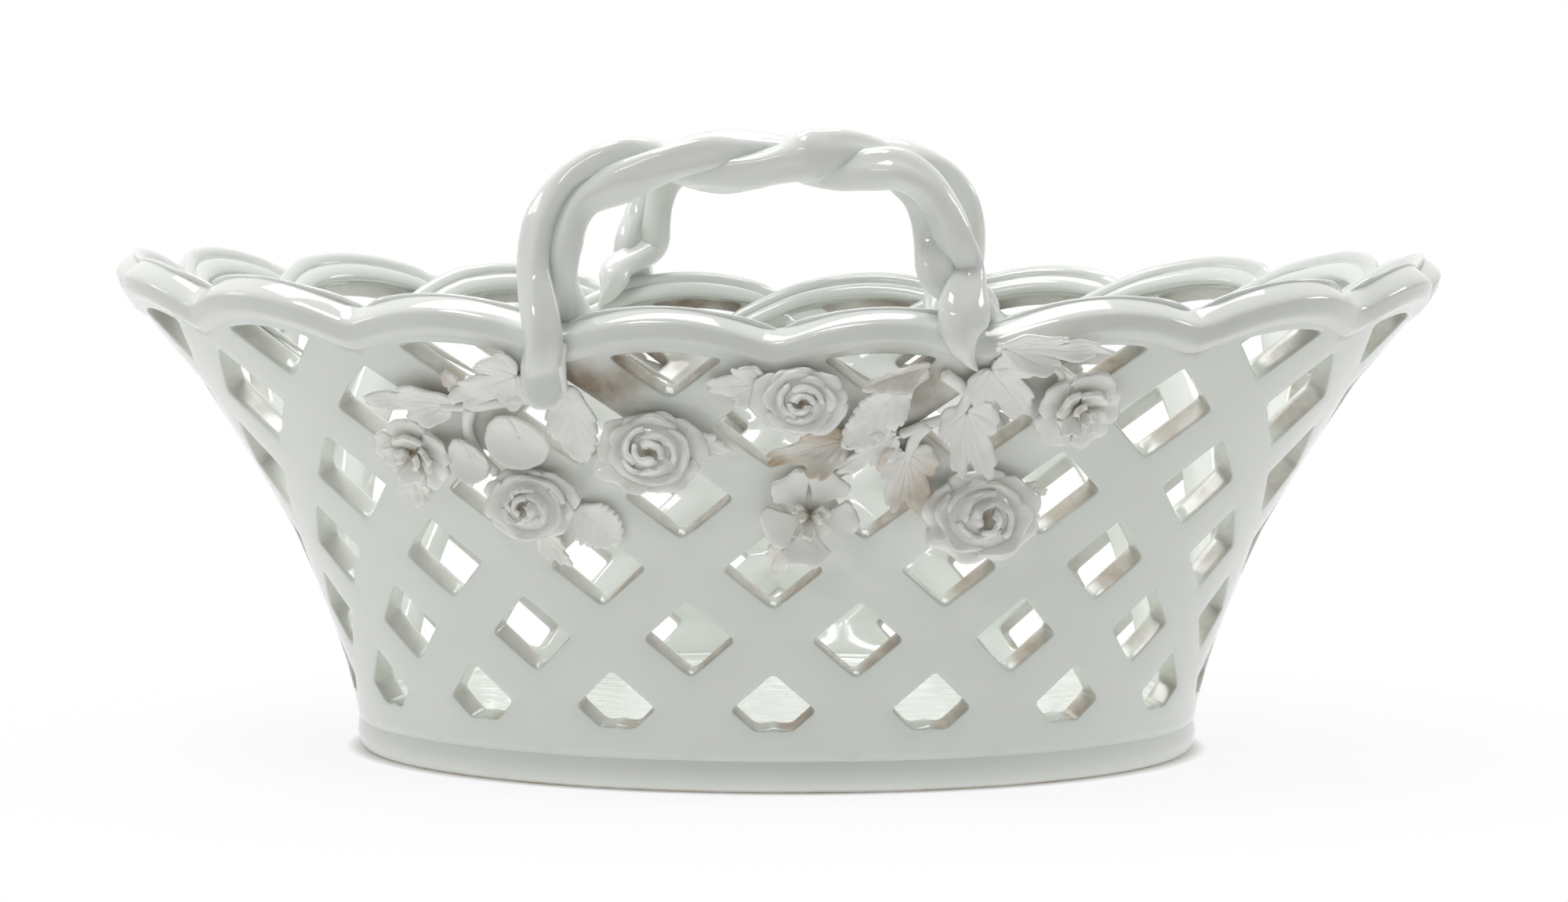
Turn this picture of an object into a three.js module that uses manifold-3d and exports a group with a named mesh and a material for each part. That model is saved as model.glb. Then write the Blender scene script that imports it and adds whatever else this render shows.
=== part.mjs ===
// Reticulated porcelain basket: an oval pierced wall on a low foot, a scalloped rim with a rounded bead,
// two handles of twisted strands, and roses, blossoms, leaves and stems applied round the handles' feet.
// Millimetres, +Z up, standing on z = 0, its length along X and its front on the -Y side.
import * as THREE from 'three';
import { mergeVertices } from 'three/addons/utils/BufferGeometryUtils.js';
import Module from 'manifold-3d';

const wasm = await Module();
wasm.setup();

// Driving dimensions of the bowl
const baseLength = 176.6; // oval at the bottom of the wall
const baseWidth = 140.2;
const sideFlare = 38.1; // how far the rim stands out over the base at the middle of a long side
const endFlare = 44.2; // the same at the two ends
const quarterFlare = 5.0; // what the flare gains between them
const flareHeight = 88.2; // height over which the wall flares out
const notchHeight = 91.2; // top of the rim in the notch at the middle of a long side
const rimRise = 8.6; // how much higher the rim stands at the two ends
const scallopRise = 3.8; // how far each scallop rises over its notches
const wallThickness = 5.0; // at the edges of the openings
const strapCrown = 0.9; // how much thicker a strap is along its middle
const seatGap = 0.3; // joint between two pieces
const trimShare = 0.15; // facets smaller than this share of a joint are dropped where a piece is cut back

// The lattice: openings in rows, each row set half a column from the next
const columns = 18;
const rows = 6;
const firstRowHeight = 16.7; // middle of the lowest row
const topRowDrop = 3.0; // how far the middle of the top row lies under the notches
const strapHeight = 13.6; // a strap measured straight up, beside the lowest row
const strapThinning = 0.55; // what the straps lose with each row
const lowestSill = 12.6; // flat bottom of the lowest row
const sidePieces = 2; // straight pieces in each side of an opening

// Rim bead
const beadHeight = 5.2;
const beadOverhang = 1.1; // how far the bead stands proud of the wall
const beadGroove = 0.55; // depth of the groove between the two ribs inside
const beadWeb = 1.7; // wall left between the top openings and the bead
const beadStations = 4; // sections in each scallop

// Foot and floor
const footHeight = 5.8;
const footInset = 1.2; // how far the bottom edge is drawn in
const footBulge = 0.4;
const footThickness = 6.2;
const ledgeWidth = 4.5;
const ledgeHeight = 2.0;
const floorTop = 9.2;

// Handles
const handleHalfSpan = 38.0;
const handleOffset = 3.5; // the front handle stands this far to the left
const handleHeight = 124.0; // middle of the twisted strands at the top
const strandRadius = 3.2;
const twistGap = 0.4; // between the two strands of a handle
const strandSides = 8;
const strandSteps = 26;
const windingSteps = 20;
const leftFootReach = 13.0; // how far a strand runs down the wall, measured from the top of the bead
const rightFootReach = 8.0;
const stumpSwell = 0.8; // how much thicker a strand is where it is cut off at the left foot
const stubSwell = 0.9; // a cut-off twig that swells one strand

// Ornament
const roseDiameter = 18.0;
const roseHeight = 7.5;
const blossomDiameter = 16.5;
const blossomHeight = 5.0;
const petalThickness = 1.3;
const leafThickness = 1.7; // along its midrib
const leafEdge = 0.6; // thickness at its toothed edges
const leafLift = 2.6; // how far a leaf's tip stands off the wall
const stemRadius = 1.2;
const stemSides = 5;
const stemSteps = 5;
const stemTaperShare = 0.25; // how much thinner a stem ends
const roseStations = 15;
const blossomStations = 20;
const petalStations = 10;

const porcelain = new THREE.MeshStandardMaterial({ name: 'glazed', color: 0xe9efec, roughness: 0.12, metalness: 0 });
const bisque = new THREE.MeshStandardMaterial({ name: 'ornament', color: 0xe6e6e0, roughness: 0.35, metalness: 0 });

// The bowl's surface. A place on it is given by its column (0 at the middle of the front, 18 round the
// oval), its height as measured at the middle of a long side, and how far it stands off the outer face.
const halfBaseLength = baseLength / 2;
const halfBaseWidth = baseWidth / 2;
const wallBottom = footHeight + seatGap;
const sideStraightShare = 0.61; // share of the flare that goes up evenly; the rest curves outwards
const endStraightShare = 0.37;
const columnAngle = (2 * Math.PI) / columns;
const rowPitch = (notchHeight - topRowDrop - firstRowHeight) / (rows - 1);

function ovalPoint(angle, offset, height) {
  const normal = new THREE.Vector2(halfBaseWidth * Math.sin(angle), halfBaseLength * Math.cos(angle)).normalize();
  return new THREE.Vector3(
    halfBaseLength * Math.sin(angle) + offset * normal.x,
    -(halfBaseWidth * Math.cos(angle) + offset * normal.y),
    height,
  );
}

function facePoint(column, level) {
  const angle = column * columnAngle;
  const endShare = Math.sin(angle) ** 2;
  const height = level + rimRise * endShare * Math.min(level / notchHeight, 1) ** 3;
  const climbed = (height - footHeight) / flareHeight;
  const straightShare = THREE.MathUtils.lerp(sideStraightShare, endStraightShare, endShare);
  const spread = straightShare * climbed + (1 - straightShare) * climbed * climbed;
  const flare = THREE.MathUtils.lerp(sideFlare, endFlare, endShare) + quarterFlare * Math.sin(2 * angle) ** 2;
  return ovalPoint(angle, flare * spread, height);
}

function faceNormal(column, level) {
  const step = seatGap / notchHeight;
  const along = facePoint(column + step, level).sub(facePoint(column - step, level));
  const up = facePoint(column, level + seatGap).sub(facePoint(column, level - seatGap));
  const normal = along.cross(up).normalize();
  // Upright at the foot, so that the wall's bottom edge is flat
  normal.z *= THREE.MathUtils.smoothstep(level, wallBottom, lowestSill);
  return normal.normalize();
}

function wallPoint(column, level, offset) {
  return facePoint(column, level).addScaledVector(faceNormal(column, level), offset);
}

// How many millimetres one column and one unit of level measure on the face at a place
function faceScale(column, level) {
  const step = seatGap / notchHeight;
  const perColumn = facePoint(column + step, level).distanceTo(facePoint(column - step, level)) / (2 * step);
  const perLevel = facePoint(column, level + seatGap).distanceTo(facePoint(column, level - seatGap));
  return { perColumn, perLevel: perLevel / (2 * seatGap) };
}

// Closed solids from rings of points
function signedVolume(position, index) {
  const [a, b, c] = [new THREE.Vector3(), new THREE.Vector3(), new THREE.Vector3()];
  let volume = 0;
  for (let i = 0; i < index.count; i += 3) {
    a.fromBufferAttribute(position, index.getX(i));
    b.fromBufferAttribute(position, index.getX(i + 1));
    c.fromBufferAttribute(position, index.getX(i + 2));
    volume += a.dot(b.cross(c)) / 6;
  }
  return volume;
}

// Merges shared points, drops faces that have closed to a line, and turns the faces outwards
function closedGeometry(points, faces) {
  const loose = new THREE.BufferGeometry().setFromPoints(points);
  loose.setIndex(faces);
  const merged = mergeVertices(loose, 1e-3);
  const kept = [];
  const index = merged.getIndex();
  for (let i = 0; i < index.count; i += 3) {
    const [a, b, c] = [index.getX(i), index.getX(i + 1), index.getX(i + 2)];
    if (a !== b && b !== c && a !== c) {
      kept.push(a, b, c);
    }
  }
  merged.setIndex(kept);
  if (signedVolume(merged.getAttribute('position'), merged.getIndex()) < 0) {
    merged.setIndex(kept.reverse());
  }
  return merged;
}

// Skins a row of rings, closing it on itself or with a cap at each end
function loft(rings, endless = false) {
  const sides = rings[0].length;
  const last = (rings.length - 1) * sides;
  const faces = [];
  for (let i = 0; i < (endless ? rings.length : rings.length - 1); i += 1) {
    const near = i * sides;
    const far = ((i + 1) % rings.length) * sides;
    for (let j = 0; j < sides; j += 1) {
      const next = (j + 1) % sides;
      faces.push(near + j, near + next, far + next, near + j, far + next, far + j);
    }
  }
  for (let j = 1; !endless && j < sides - 1; j += 1) {
    faces.push(0, j + 1, j, last, last + j, last + j + 1);
  }
  return closedGeometry(rings.flat(), faces);
}

function sweep(curve, steps, sides, radiusAt) {
  const frames = curve.computeFrenetFrames(steps, false);
  const rings = frames.tangents.map((_, i) => {
    const centre = curve.getPointAt(i / steps);
    const radius = radiusAt(i / steps);
    return Array.from({ length: sides }, (__, j) => {
      const turn = (2 * Math.PI * j) / sides;
      return centre.clone()
        .addScaledVector(frames.normals[i], radius * Math.cos(turn))
        .addScaledVector(frames.binormals[i], radius * Math.sin(turn));
    });
  });
  return loft(rings);
}

function toSolid(geometry) {
  const vertProperties = new Float32Array(geometry.getAttribute('position').array);
  const triVerts = new Uint32Array(geometry.getIndex().array);
  return new wasm.Manifold(new wasm.Mesh({ numProp: 3, vertProperties, triVerts }));
}

function toGeometry(solid) {
  const mesh = solid.getMesh();
  const geometry = new THREE.BufferGeometry();
  geometry.setAttribute('position', new THREE.BufferAttribute(mesh.vertProperties, 3));
  geometry.setIndex(new THREE.BufferAttribute(mesh.triVerts, 1));
  return geometry;
}

// Cuts a piece back from the space that earlier pieces take, and keeps its largest part
function trimmed(geometry, spaces) {
  const cut = spaces.reduce((solid, space) => solid.subtract(space), toSolid(geometry)).simplify(seatGap * trimShare);
  const parts = cut.decompose().sort((one, other) => other.volume() - one.volume());
  return toGeometry(parts[0]);
}

// Height of the wall's top edge, which carries the bead
function rimEdge(column) {
  const fromCrest = 2 * (column - Math.floor(column)) - 1;
  return notchHeight - beadHeight - seatGap + scallopRise * (1 - fromCrest * fromCrest);
}

// The wall is made of cells, one round each opening. A cell's edge runs along the middles of the straps,
// and its opening has as many points, so the two are joined side by side.
function openingShare(row) {
  return 1 - (strapHeight - strapThinning * row) / (2 * rowPitch);
}

function betweenPoints(corners, piecesPerSide) {
  return corners.flatMap(([column, level], i) => {
    const [nextColumn, nextLevel] = corners[(i + 1) % corners.length];
    return Array.from({ length: piecesPerSide[i] }, (_, k) => {
      const share = k / piecesPerSide[i];
      return [THREE.MathUtils.lerp(column, nextColumn, share), THREE.MathUtils.lerp(level, nextLevel, share)];
    });
  });
}

function latticeCell(row) {
  const middle = firstRowHeight + row * rowPitch;
  const share = openingShare(row);
  const reach = rowPitch * share;
  const half = 1 / 2; // of a column
  const cusp = rimEdge(0);
  if (row === 0) {
    const pieces = [sidePieces, 1, 1, 1, 1, sidePieces];
    const sillShare = share - (middle - lowestSill) / rowPitch;
    return {
      edge: betweenPoints([[0, middle + rowPitch], [half, middle], [half, wallBottom], [0, wallBottom],
        [-half, wallBottom], [-half, middle]], pieces),
      opening: betweenPoints([[0, middle + reach], [half * share, middle], [half * sillShare, lowestSill],
        [0, lowestSill], [-half * sillShare, lowestSill], [-half * share, middle]], pieces),
      free: [sidePieces + 1, sidePieces + 3],
    };
  }
  if (row === rows - 1) {
    const sill = middle - reach - strapThinning;
    const slope = rowPitch / half;
    const corner = (cusp - beadWeb - sill + scallopRise * share) / slope;
    return {
      edge: archedOutline(half, [0, middle - rowPitch], (column) => rimEdge(half + column)),
      opening: archedOutline(corner, [0, sill], (column) => rimEdge(half + column) - beadWeb),
      free: [0, 2 * sidePieces],
    };
  }
  const top = row === rows - 2 ? cusp : middle + rowPitch;
  const pieces = [sidePieces, sidePieces, sidePieces, sidePieces];
  return {
    edge: betweenPoints([[0, top], [half, middle], [0, middle - rowPitch], [-half, middle]], pieces),
    opening: betweenPoints([[0, middle + reach], [half * share, middle], [0, middle - reach],
      [-half * share, middle]], pieces),
    free: [0, 0],
  };
}

// An arch from left to right, closed by two straight sides that meet at a bottom point
function archedOutline(half, bottom, levelAt) {
  const archPieces = 2 * sidePieces;
  const arch = Array.from({ length: archPieces }, (_, k) => {
    const column = half * ((2 * k) / archPieces - 1);
    return [column, levelAt(column)];
  });
  const sides = betweenPoints([[half, levelAt(half)], bottom, [-half, levelAt(-half)]], [sidePieces, sidePieces, 0]);
  return [...arch, ...sides];
}

function piercedWall() {
  const points = [];
  const faces = [];
  const quad = (a, b, c, d) => faces.push(a, b, c, a, c, d);
  for (let row = 0; row < rows; row += 1) {
    const { edge, opening, free } = latticeCell(row);
    const count = edge.length;
    for (let k = 0; k < columns; k += 1) {
      const column = k + (row % 2) / 2;
      const start = points.length;
      const ring = (line, offset) => line.forEach(([across, level]) => {
        points.push(wallPoint((column + across) % columns, level, offset));
      });
      ring(edge, 0);
      ring(opening, 0);
      ring(opening, -wallThickness);
      ring(edge, -wallThickness - strapCrown);
      // Outer face, sides of the opening and inner face, then the wall's free edge at top or bottom
      for (let i = 0; i < count; i += 1) {
        const next = (i + 1) % count;
        for (let layer = 0; layer < 3; layer += 1) {
          const near = start + layer * count;
          quad(near + i, near + next, near + count + next, near + count + i);
        }
        if (i >= free[0] && i < free[1]) {
          const inner = start + 3 * count;
          quad(inner + i, inner + next, start + next, start + i);
        }
      }
    }
  }
  return closedGeometry(points, faces);
}

// The bead's section: across the wall, and up from the wall's top edge
function rimBead(growth) {
  const inside = wallThickness + strapCrown;
  const outerFace = beadOverhang + growth;
  const innerFace = -inside - beadOverhang - growth;
  const [lowShare, middleShare, highShare] = [0.3, 0.5, 0.7];
  const section = [
    [0, seatGap - growth], [outerFace, beadHeight * lowShare], [outerFace, beadHeight * highShare],
    [0, beadHeight + growth - beadGroove], [-inside / 2, beadHeight + growth],
    [-inside, beadHeight + growth - beadGroove], [innerFace, beadHeight * highShare],
    [innerFace + beadGroove, beadHeight * middleShare], [innerFace, beadHeight * lowShare], [-inside, seatGap - growth],
  ];
  const count = columns * beadStations;
  const rings = Array.from({ length: count }, (_, i) => {
    const column = i / beadStations;
    return section.map(([offset, up]) => wallPoint(column, rimEdge(column) + up, offset));
  });
  return loft(rings, true);
}

const footStations = 2 * columns; // in line with the wall's own points

function footRing() {
  const section = [
    [-footInset, 0], [0, footHeight / 3], [footBulge, (footHeight * 2) / 3], [0, footHeight],
    [-footThickness, footHeight], [-footThickness, ledgeHeight], [-footThickness - ledgeWidth, ledgeHeight],
    [-footThickness - ledgeWidth, 0],
  ];
  const rings = Array.from({ length: footStations }, (_, i) => {
    const angle = (2 * Math.PI * i) / footStations;
    return section.map(([offset, height]) => ovalPoint(angle, offset, height));
  });
  return loft(rings, true);
}

function floorPlate() {
  const outline = Array.from({ length: footStations }, (_, i) => {
    const point = ovalPoint((2 * Math.PI * i) / footStations, -footThickness - seatGap, 0);
    return new THREE.Vector2(point.x, point.y);
  });
  const depth = floorTop - ledgeHeight - seatGap;
  const plate = new THREE.ExtrudeGeometry(new THREE.Shape(outline), { depth, bevelEnabled: false });
  plate.translate(0, 0, ledgeHeight + seatGap);
  plate.deleteAttribute('normal');
  plate.deleteAttribute('uv');
  return mergeVertices(plate, 1e-3);
}

// Handles. The middle line of the front handle goes up over one notch of the rim and down at another; its
// places are shares of the half span and of the rise from the rim's crests. Two strands wind round it, and
// at each foot one lies outside the wall and the other inside. The twist gives the half turns made at
// shares of the middle line: at 0 the outer strand is in front, at half a turn beside, at 1 behind. A
// foot's place is the column where it crosses the rim, and how far along the rim it then runs.
const middleLineShares = [[-1.02, 0.1], [-1, 0.5], [-0.91, 0.82], [-0.68, 0.98], [-0.25, 1], [0.3, 1],
  [0.7, 0.97], [0.86, 0.82], [0.95, 0.45], [1, 0.1]];
const twistShares = [[0, 0.15], [0.09, 0.45], [0.2, 0.5], [0.28, 0.6], [0.36, 1], [0.47, 1.5], [0.58, 2],
  [0.66, 2.5], [0.74, 3], [0.82, 3.15], [0.91, 3.35], [1, 3.8]];
const leftFootShares = { outside: [-1.03, -0.07], inside: [-0.97, 0] };
const rightFootShares = { outside: [0.83, 0.12], inside: [0.97, 0.14] };
const footSpreadShare = 0.45; // how much of the way apart the strands are where they meet the rim
const footHoldShare = 0.9; // where a foot crosses the bead, as a share of the bead's height
const stubShare = 0.6; // place of the twig along the strand
const stubLengthShare = 0.05;
const stumpLengthShare = 0.06;
const endTaperShare = 0.55; // radius at the very end of a strand

function valueAt(tableShares, share) {
  const next = Math.max(1, tableShares.findIndex(([place]) => place >= share));
  const [[from, start], [to, end]] = [tableShares[next - 1], tableShares[next]];
  return THREE.MathUtils.mapLinear(share, from, to, start, end);
}

function handleStrand(outer, growth) {
  const side = outer ? 1 : -1;
  const rimDepth = wallThickness + strapCrown;
  const depth = wallPoint(1, notchHeight, -rimDepth / 2).y;
  const bottom = notchHeight + scallopRise;
  const rise = handleHeight - bottom;
  const middle = new THREE.CatmullRomCurve3(middleLineShares.map(([across, up]) => new THREE.Vector3(
    across * handleHalfSpan - handleOffset, depth, bottom + up * rise)));
  const together = strandRadius + twistGap / 2;
  const apart = rimDepth / 2 + beadOverhang + strandRadius + seatGap;
  const winding = Array.from({ length: windingSteps + 1 }, (_, i) => {
    const share = i / windingSteps;
    const centre = middle.getPointAt(share);
    const tangent = middle.getTangentAt(share);
    const outward = new THREE.Vector3(0, -1, 0);
    const up = outward.clone().cross(tangent).normalize();
    const turn = Math.PI * valueAt(twistShares, share);
    const nearFoot = footSpreadShare * Math.abs(2 * share - 1) ** 8;
    const radius = THREE.MathUtils.lerp(together, apart, nearFoot);
    return centre.addScaledVector(outward, side * radius * Math.cos(turn))
      .addScaledVector(up, side * radius * Math.sin(turn));
  });
  const foot = (places, outside, reach) => {
    const [column, turnIn] = outside ? places.outside : places.inside;
    const clear = strandRadius + seatGap;
    const beside = outside ? clear : -(rimDepth + clear);
    const overBead = beside + (outside ? beadOverhang : -beadOverhang);
    const level = rimEdge(column);
    return [
      wallPoint(column, level + beadHeight * footHoldShare, overBead),
      wallPoint(column + turnIn / 2, level, overBead),
      wallPoint(column + turnIn, level + beadHeight - reach, beside + seatGap),
    ];
  };
  const left = foot(leftFootShares, outer, leftFootReach).reverse();
  const right = foot(rightFootShares, !outer, rightFootReach);
  const path = new THREE.CatmullRomCurve3([...left, ...winding.slice(1, -1), ...right]);
  return sweep(path, strandSteps, strandSides, (share) => {
    const fromEnd = Math.min(share, 1 - share) / stumpLengthShare;
    const ends = THREE.MathUtils.lerp(endTaperShare, 1, THREE.MathUtils.smoothstep(fromEnd, 0, 1 / 2));
    const stump = stumpSwell * Math.exp(-((share / stumpLengthShare - 1) ** 2));
    const stub = outer ? stubSwell * Math.exp(-(((share - stubShare) / stubLengthShare) ** 2)) : 0;
    return strandRadius * ends + stump + stub + growth;
  });
}

// Ornament is modelled flat, in millimetres across, up and off the wall, and laid on the wall's face
function layOnWall(place, across, up, off) {
  const scale = faceScale(place.column, place.level);
  return wallPoint(place.column + across / scale.perColumn, place.level + up / scale.perLevel, seatGap + off);
}

function placeOf([column, heightShare]) {
  return { column, level: heightShare * notchHeight };
}

// A flower's rings from its heart outwards: share of the radius, share of the height, depth of the lobes
// and how far the lobes are turned
const roseRingShares = [[0, 0.62, 0, 0], [0.14, 1, 0.1, 0], [0.3, 0.7, 0.15, 0.5], [0.4, 0.94, 0.12, 0.5],
  [0.56, 0.52, 0.12, 0], [0.72, 0.74, 0.1, 0], [1, 0.46, 0.14, 0.5]];
const blossomRingShares = [[0, 1, 0, 0], [0.2, 0.5, 0.1, 0], [0.6, 0.6, 0.4, 0], [1, 0.72, 0.46, 0]];
const petalRingShares = [[0, 0.35, 0, 0], [0.6, 0.5, 0, 0], [1, 1, 0.06, 0]];
const backRingShares = [[0.5, 0, 0, 0], [0, 0, 0, 0]];
const lobes = 5;
const tiltLiftShare = 0.5; // how far a tilted flower's middle is lifted, as a share of its height

// A flower may look upwards: it is then turned about its own middle and stands on a lump that reaches the wall
function flower(place, diameter, height, tiltShare, ringShares, stations) {
  const [out, lip, depth, turned] = ringShares[ringShares.length - 1];
  const ring = ([reach, up, lobeDepth, lobeTurn]) => Array.from({ length: stations }, (_, i) => {
    const angle = (2 * Math.PI * i) / stations;
    const lobe = Math.abs(Math.cos((lobes * angle) / 2 + lobeTurn * Math.PI));
    const radius = (diameter / 2) * reach * (1 - lobeDepth * (1 - lobe));
    const across = radius * Math.sin(angle);
    const along = radius * Math.cos(angle);
    if (up === 0) {
      return layOnWall(place, across, along, 0);
    }
    const upright = Math.sqrt(1 - tiltShare * tiltShare);
    const off = up * height * upright - along * tiltShare + height * tiltShare * tiltLiftShare;
    const level = along * upright + (up - lip) * height * tiltShare;
    return layOnWall(place, across, level, Math.max(off, petalThickness));
  });
  const underLip = [out, lip - petalThickness / height, depth, turned];
  return loft([...ringShares, underLip, ...backRingShares].map(ring));
}

function flowerSpace(place, diameter, height) {
  const stations = 20;
  const ring = (off) => Array.from({ length: stations }, (_, i) => {
    const angle = (2 * Math.PI * i) / stations;
    const radius = diameter / 2 + seatGap;
    return layOnWall(place, radius * Math.sin(angle), radius * Math.cos(angle), off);
  });
  return toSolid(loft([ring(-wallThickness), ring(height * 2)]));
}

// A leaf runs from its base to its tip, thick along its midrib and toothed at its edges
function leafPoint(leaf, along, across, off) {
  const middle = { column: (leaf.base.column + leaf.tip.column) / 2, level: (leaf.base.level + leaf.tip.level) / 2 };
  const scale = faceScale(middle.column, middle.level);
  const run = new THREE.Vector2((leaf.tip.column - leaf.base.column) * scale.perColumn,
    (leaf.tip.level - leaf.base.level) * scale.perLevel);
  const length = run.length();
  const place = run.clone().multiplyScalar(along)
    .add(new THREE.Vector2(-run.y, run.x).multiplyScalar(across * leaf.widthShare / 2));
  const curled = off + leafLift * (length / roseDiameter) * leaf.curl * along * along;
  return wallPoint(leaf.base.column + place.x / scale.perColumn, leaf.base.level + place.y / scale.perLevel,
    leaf.standOff + curled);
}

const leafStations = 9;
const toothDepthShare = 0.28;
const toothRakeShare = 0.05;
const leafEndShare = 0.1; // width of a leaf's two ends

function leafHalfWidth(share, toothShare, index) {
  const body = Math.max(Math.sin(Math.PI * share ** 0.8) ** 0.75, leafEndShare);
  return body * (index % 2 ? 1 : 1 - toothShare);
}

function leafBody(leaf) {
  const rings = Array.from({ length: leafStations }, (_, i) => {
    const share = i / (leafStations - 1);
    const inside = i > 0 && i < leafStations - 1;
    const half = leafHalfWidth(share, inside ? toothDepthShare : 0, i);
    const middle = inside ? leafThickness : leafEdge;
    const back = inside && i % 2 === 0 ? -toothRakeShare : 0;
    return [
      leafPoint(leaf, share + back, -half, 0), leafPoint(leaf, share + back, -half, leafEdge),
      leafPoint(leaf, share, 0, middle),
      leafPoint(leaf, share + back, half, leafEdge), leafPoint(leaf, share + back, half, 0),
    ];
  });
  return loft(rings);
}

function leafSpace(leaf) {
  const length = leafPoint(leaf, 0, 0, 0).distanceTo(leafPoint(leaf, 1, 0, 0));
  const spare = seatGap / length;
  const outline = Array.from({ length: leafStations }, (_, i) => i / (leafStations - 1));
  const edge = (side) => outline.map((share) => {
    const half = leafHalfWidth(share, 0, 1) + (2 * spare) / leaf.widthShare;
    return [THREE.MathUtils.lerp(-spare, 1 + spare, share), side * half];
  });
  const loop = [...edge(1), ...edge(-1).reverse()];
  const ring = (off) => loop.map(([along, across]) => leafPoint(leaf, along, across, off));
  return toSolid(loft([ring(-wallThickness), ring(leafLift)]));
}

// A stem may branch: each of its runs is a rod, and they are joined
function stem(runs, standOff) {
  const rods = runs.map((places) => {
    const points = places.map(placeOf).map(({ column, level }) => wallPoint(column, level, standOff + stemRadius));
    const curve = new THREE.CatmullRomCurve3(points);
    return toSolid(sweep(curve, stemSteps, stemSides, (share) => stemRadius * (1 - stemTaperShare * share)));
  });
  return toGeometry(rods.reduce((whole, rod) => whole.add(rod)));
}

// Places on the front of the wall: column, and height as a share of the rim's. A flower's tilt is how far its
// lower lip stands off for each length along it.
const roseTable = {
  rose_lower_left: { placeShares: [-1.26, 0.66], size: 1.08, tiltShare: 0.35 },
  rose_upper_left: { placeShares: [-0.59, 0.79], size: 1.18, tiltShare: 0.5 },
  rose_under_rim: { placeShares: [0.13, 0.895], size: 0.99, tiltShare: 0.4 },
  rose_lower_right: { placeShares: [1.07, 0.65], size: 1.3, tiltShare: 0.4 },
  rose_far_right: { placeShares: [1.47, 0.855], size: 0.96, tiltShare: 0.1 },
};
const blossomTable = {
  blossom_left: { placeShares: [-1.86, 0.745], size: 1.02, tiltShare: 0.1 },
  blossom_middle: { placeShares: [0.19, 0.645], size: 1.18, tiltShare: 0.3 },
};
const petalTable = {
  round_petal_left: { placeShares: [-1.27, 0.785], sizeShare: 0.66 },
  round_petal_far_left: { placeShares: [-1.56, 0.74], sizeShare: 0.52 },
};
// Base, tip, width as a share of the length, curl away from the wall, and whether it lies over the bead
const leafTable = {
  leaf_beside_left_foot: { baseShares: [-1.24, 0.9], tipShares: [-1.55, 0.865], widthShare: 0.85, curl: 0.8 },
  leaf_far_left: { baseShares: [-1.58, 0.85], tipShares: [-2.02, 0.857], widthShare: 0.5, curl: 0.7 },
  leaf_hanging_left: { baseShares: [-0.98, 0.885], tipShares: [-0.96, 0.744], widthShare: 0.6, curl: 0.5 },
  leaf_by_lower_left_rose: { baseShares: [-1.03, 0.626], tipShares: [-0.84, 0.565], widthShare: 0.9, curl: 0.4 },
  leaf_under_rim: { baseShares: [-0.04, 0.91], tipShares: [-0.31, 0.91], widthShare: 0.85, curl: 0.6 },
  leaf_long_right: { baseShares: [0.72, 0.955], tipShares: [0.42, 0.913], widthShare: 0.36, curl: 1 },
  leaf_broad_right: { baseShares: [0.62, 0.9], tipShares: [0.36, 0.795], widthShare: 0.58, curl: 0.9 },
  leaf_curled_middle: { baseShares: [0.36, 0.785], tipShares: [-0.03, 0.765], widthShare: 0.6, curl: 1.5 },
  leaf_middle_right: { baseShares: [0.6, 0.8], tipShares: [0.33, 0.727], widthShare: 0.55, curl: 0.5 },
  leaf_hanging_middle: { baseShares: [0.68, 0.75], tipShares: [0.7, 0.624], widthShare: 0.78, curl: 0.6 },
  leaf_over_lower_rose: { baseShares: [0.935, 0.845], tipShares: [1.03, 0.705], widthShare: 0.7, curl: 1.6 },
  leaf_behind_right_foot: { baseShares: [1.02, 0.925], tipShares: [1.24, 0.84], widthShare: 0.95, curl: 0.4 },
  leaf_over_rim: { baseShares: [1.06, 0.985], tipShares: [1.5, 0.98], widthShare: 0.4, curl: 0.6, overBead: true },
};
const stemTable = {
  stem_left: { runs: [[[-1.22, 0.865], [-1.36, 0.85], [-1.5, 0.842], [-1.62, 0.84]],
    [[-1.48, 0.845], [-1.53, 0.8], [-1.53, 0.76], [-1.45, 0.7]]] },
  stem_by_left_foot: { runs: [[[-0.95, 0.985], [-0.965, 0.96], [-0.975, 0.93], [-0.98, 0.9]]], overBead: true },
  stem_right: { runs: [[[0.79, 0.925], [0.92, 0.883], [0.88, 0.84], [0.76, 0.823], [0.64, 0.805]],
    [[0.74, 0.825], [0.7, 0.79], [0.67, 0.75]]] },
  stem_far_right: { runs: [[[1.06, 0.93], [1.2, 0.93], [1.33, 0.92], [1.38, 0.9]]] },
};

const beadSpace = toSolid(rimBead(seatGap));
const standOffOf = (overBead) => (overBead ? beadOverhang + seatGap : seatGap);

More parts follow.
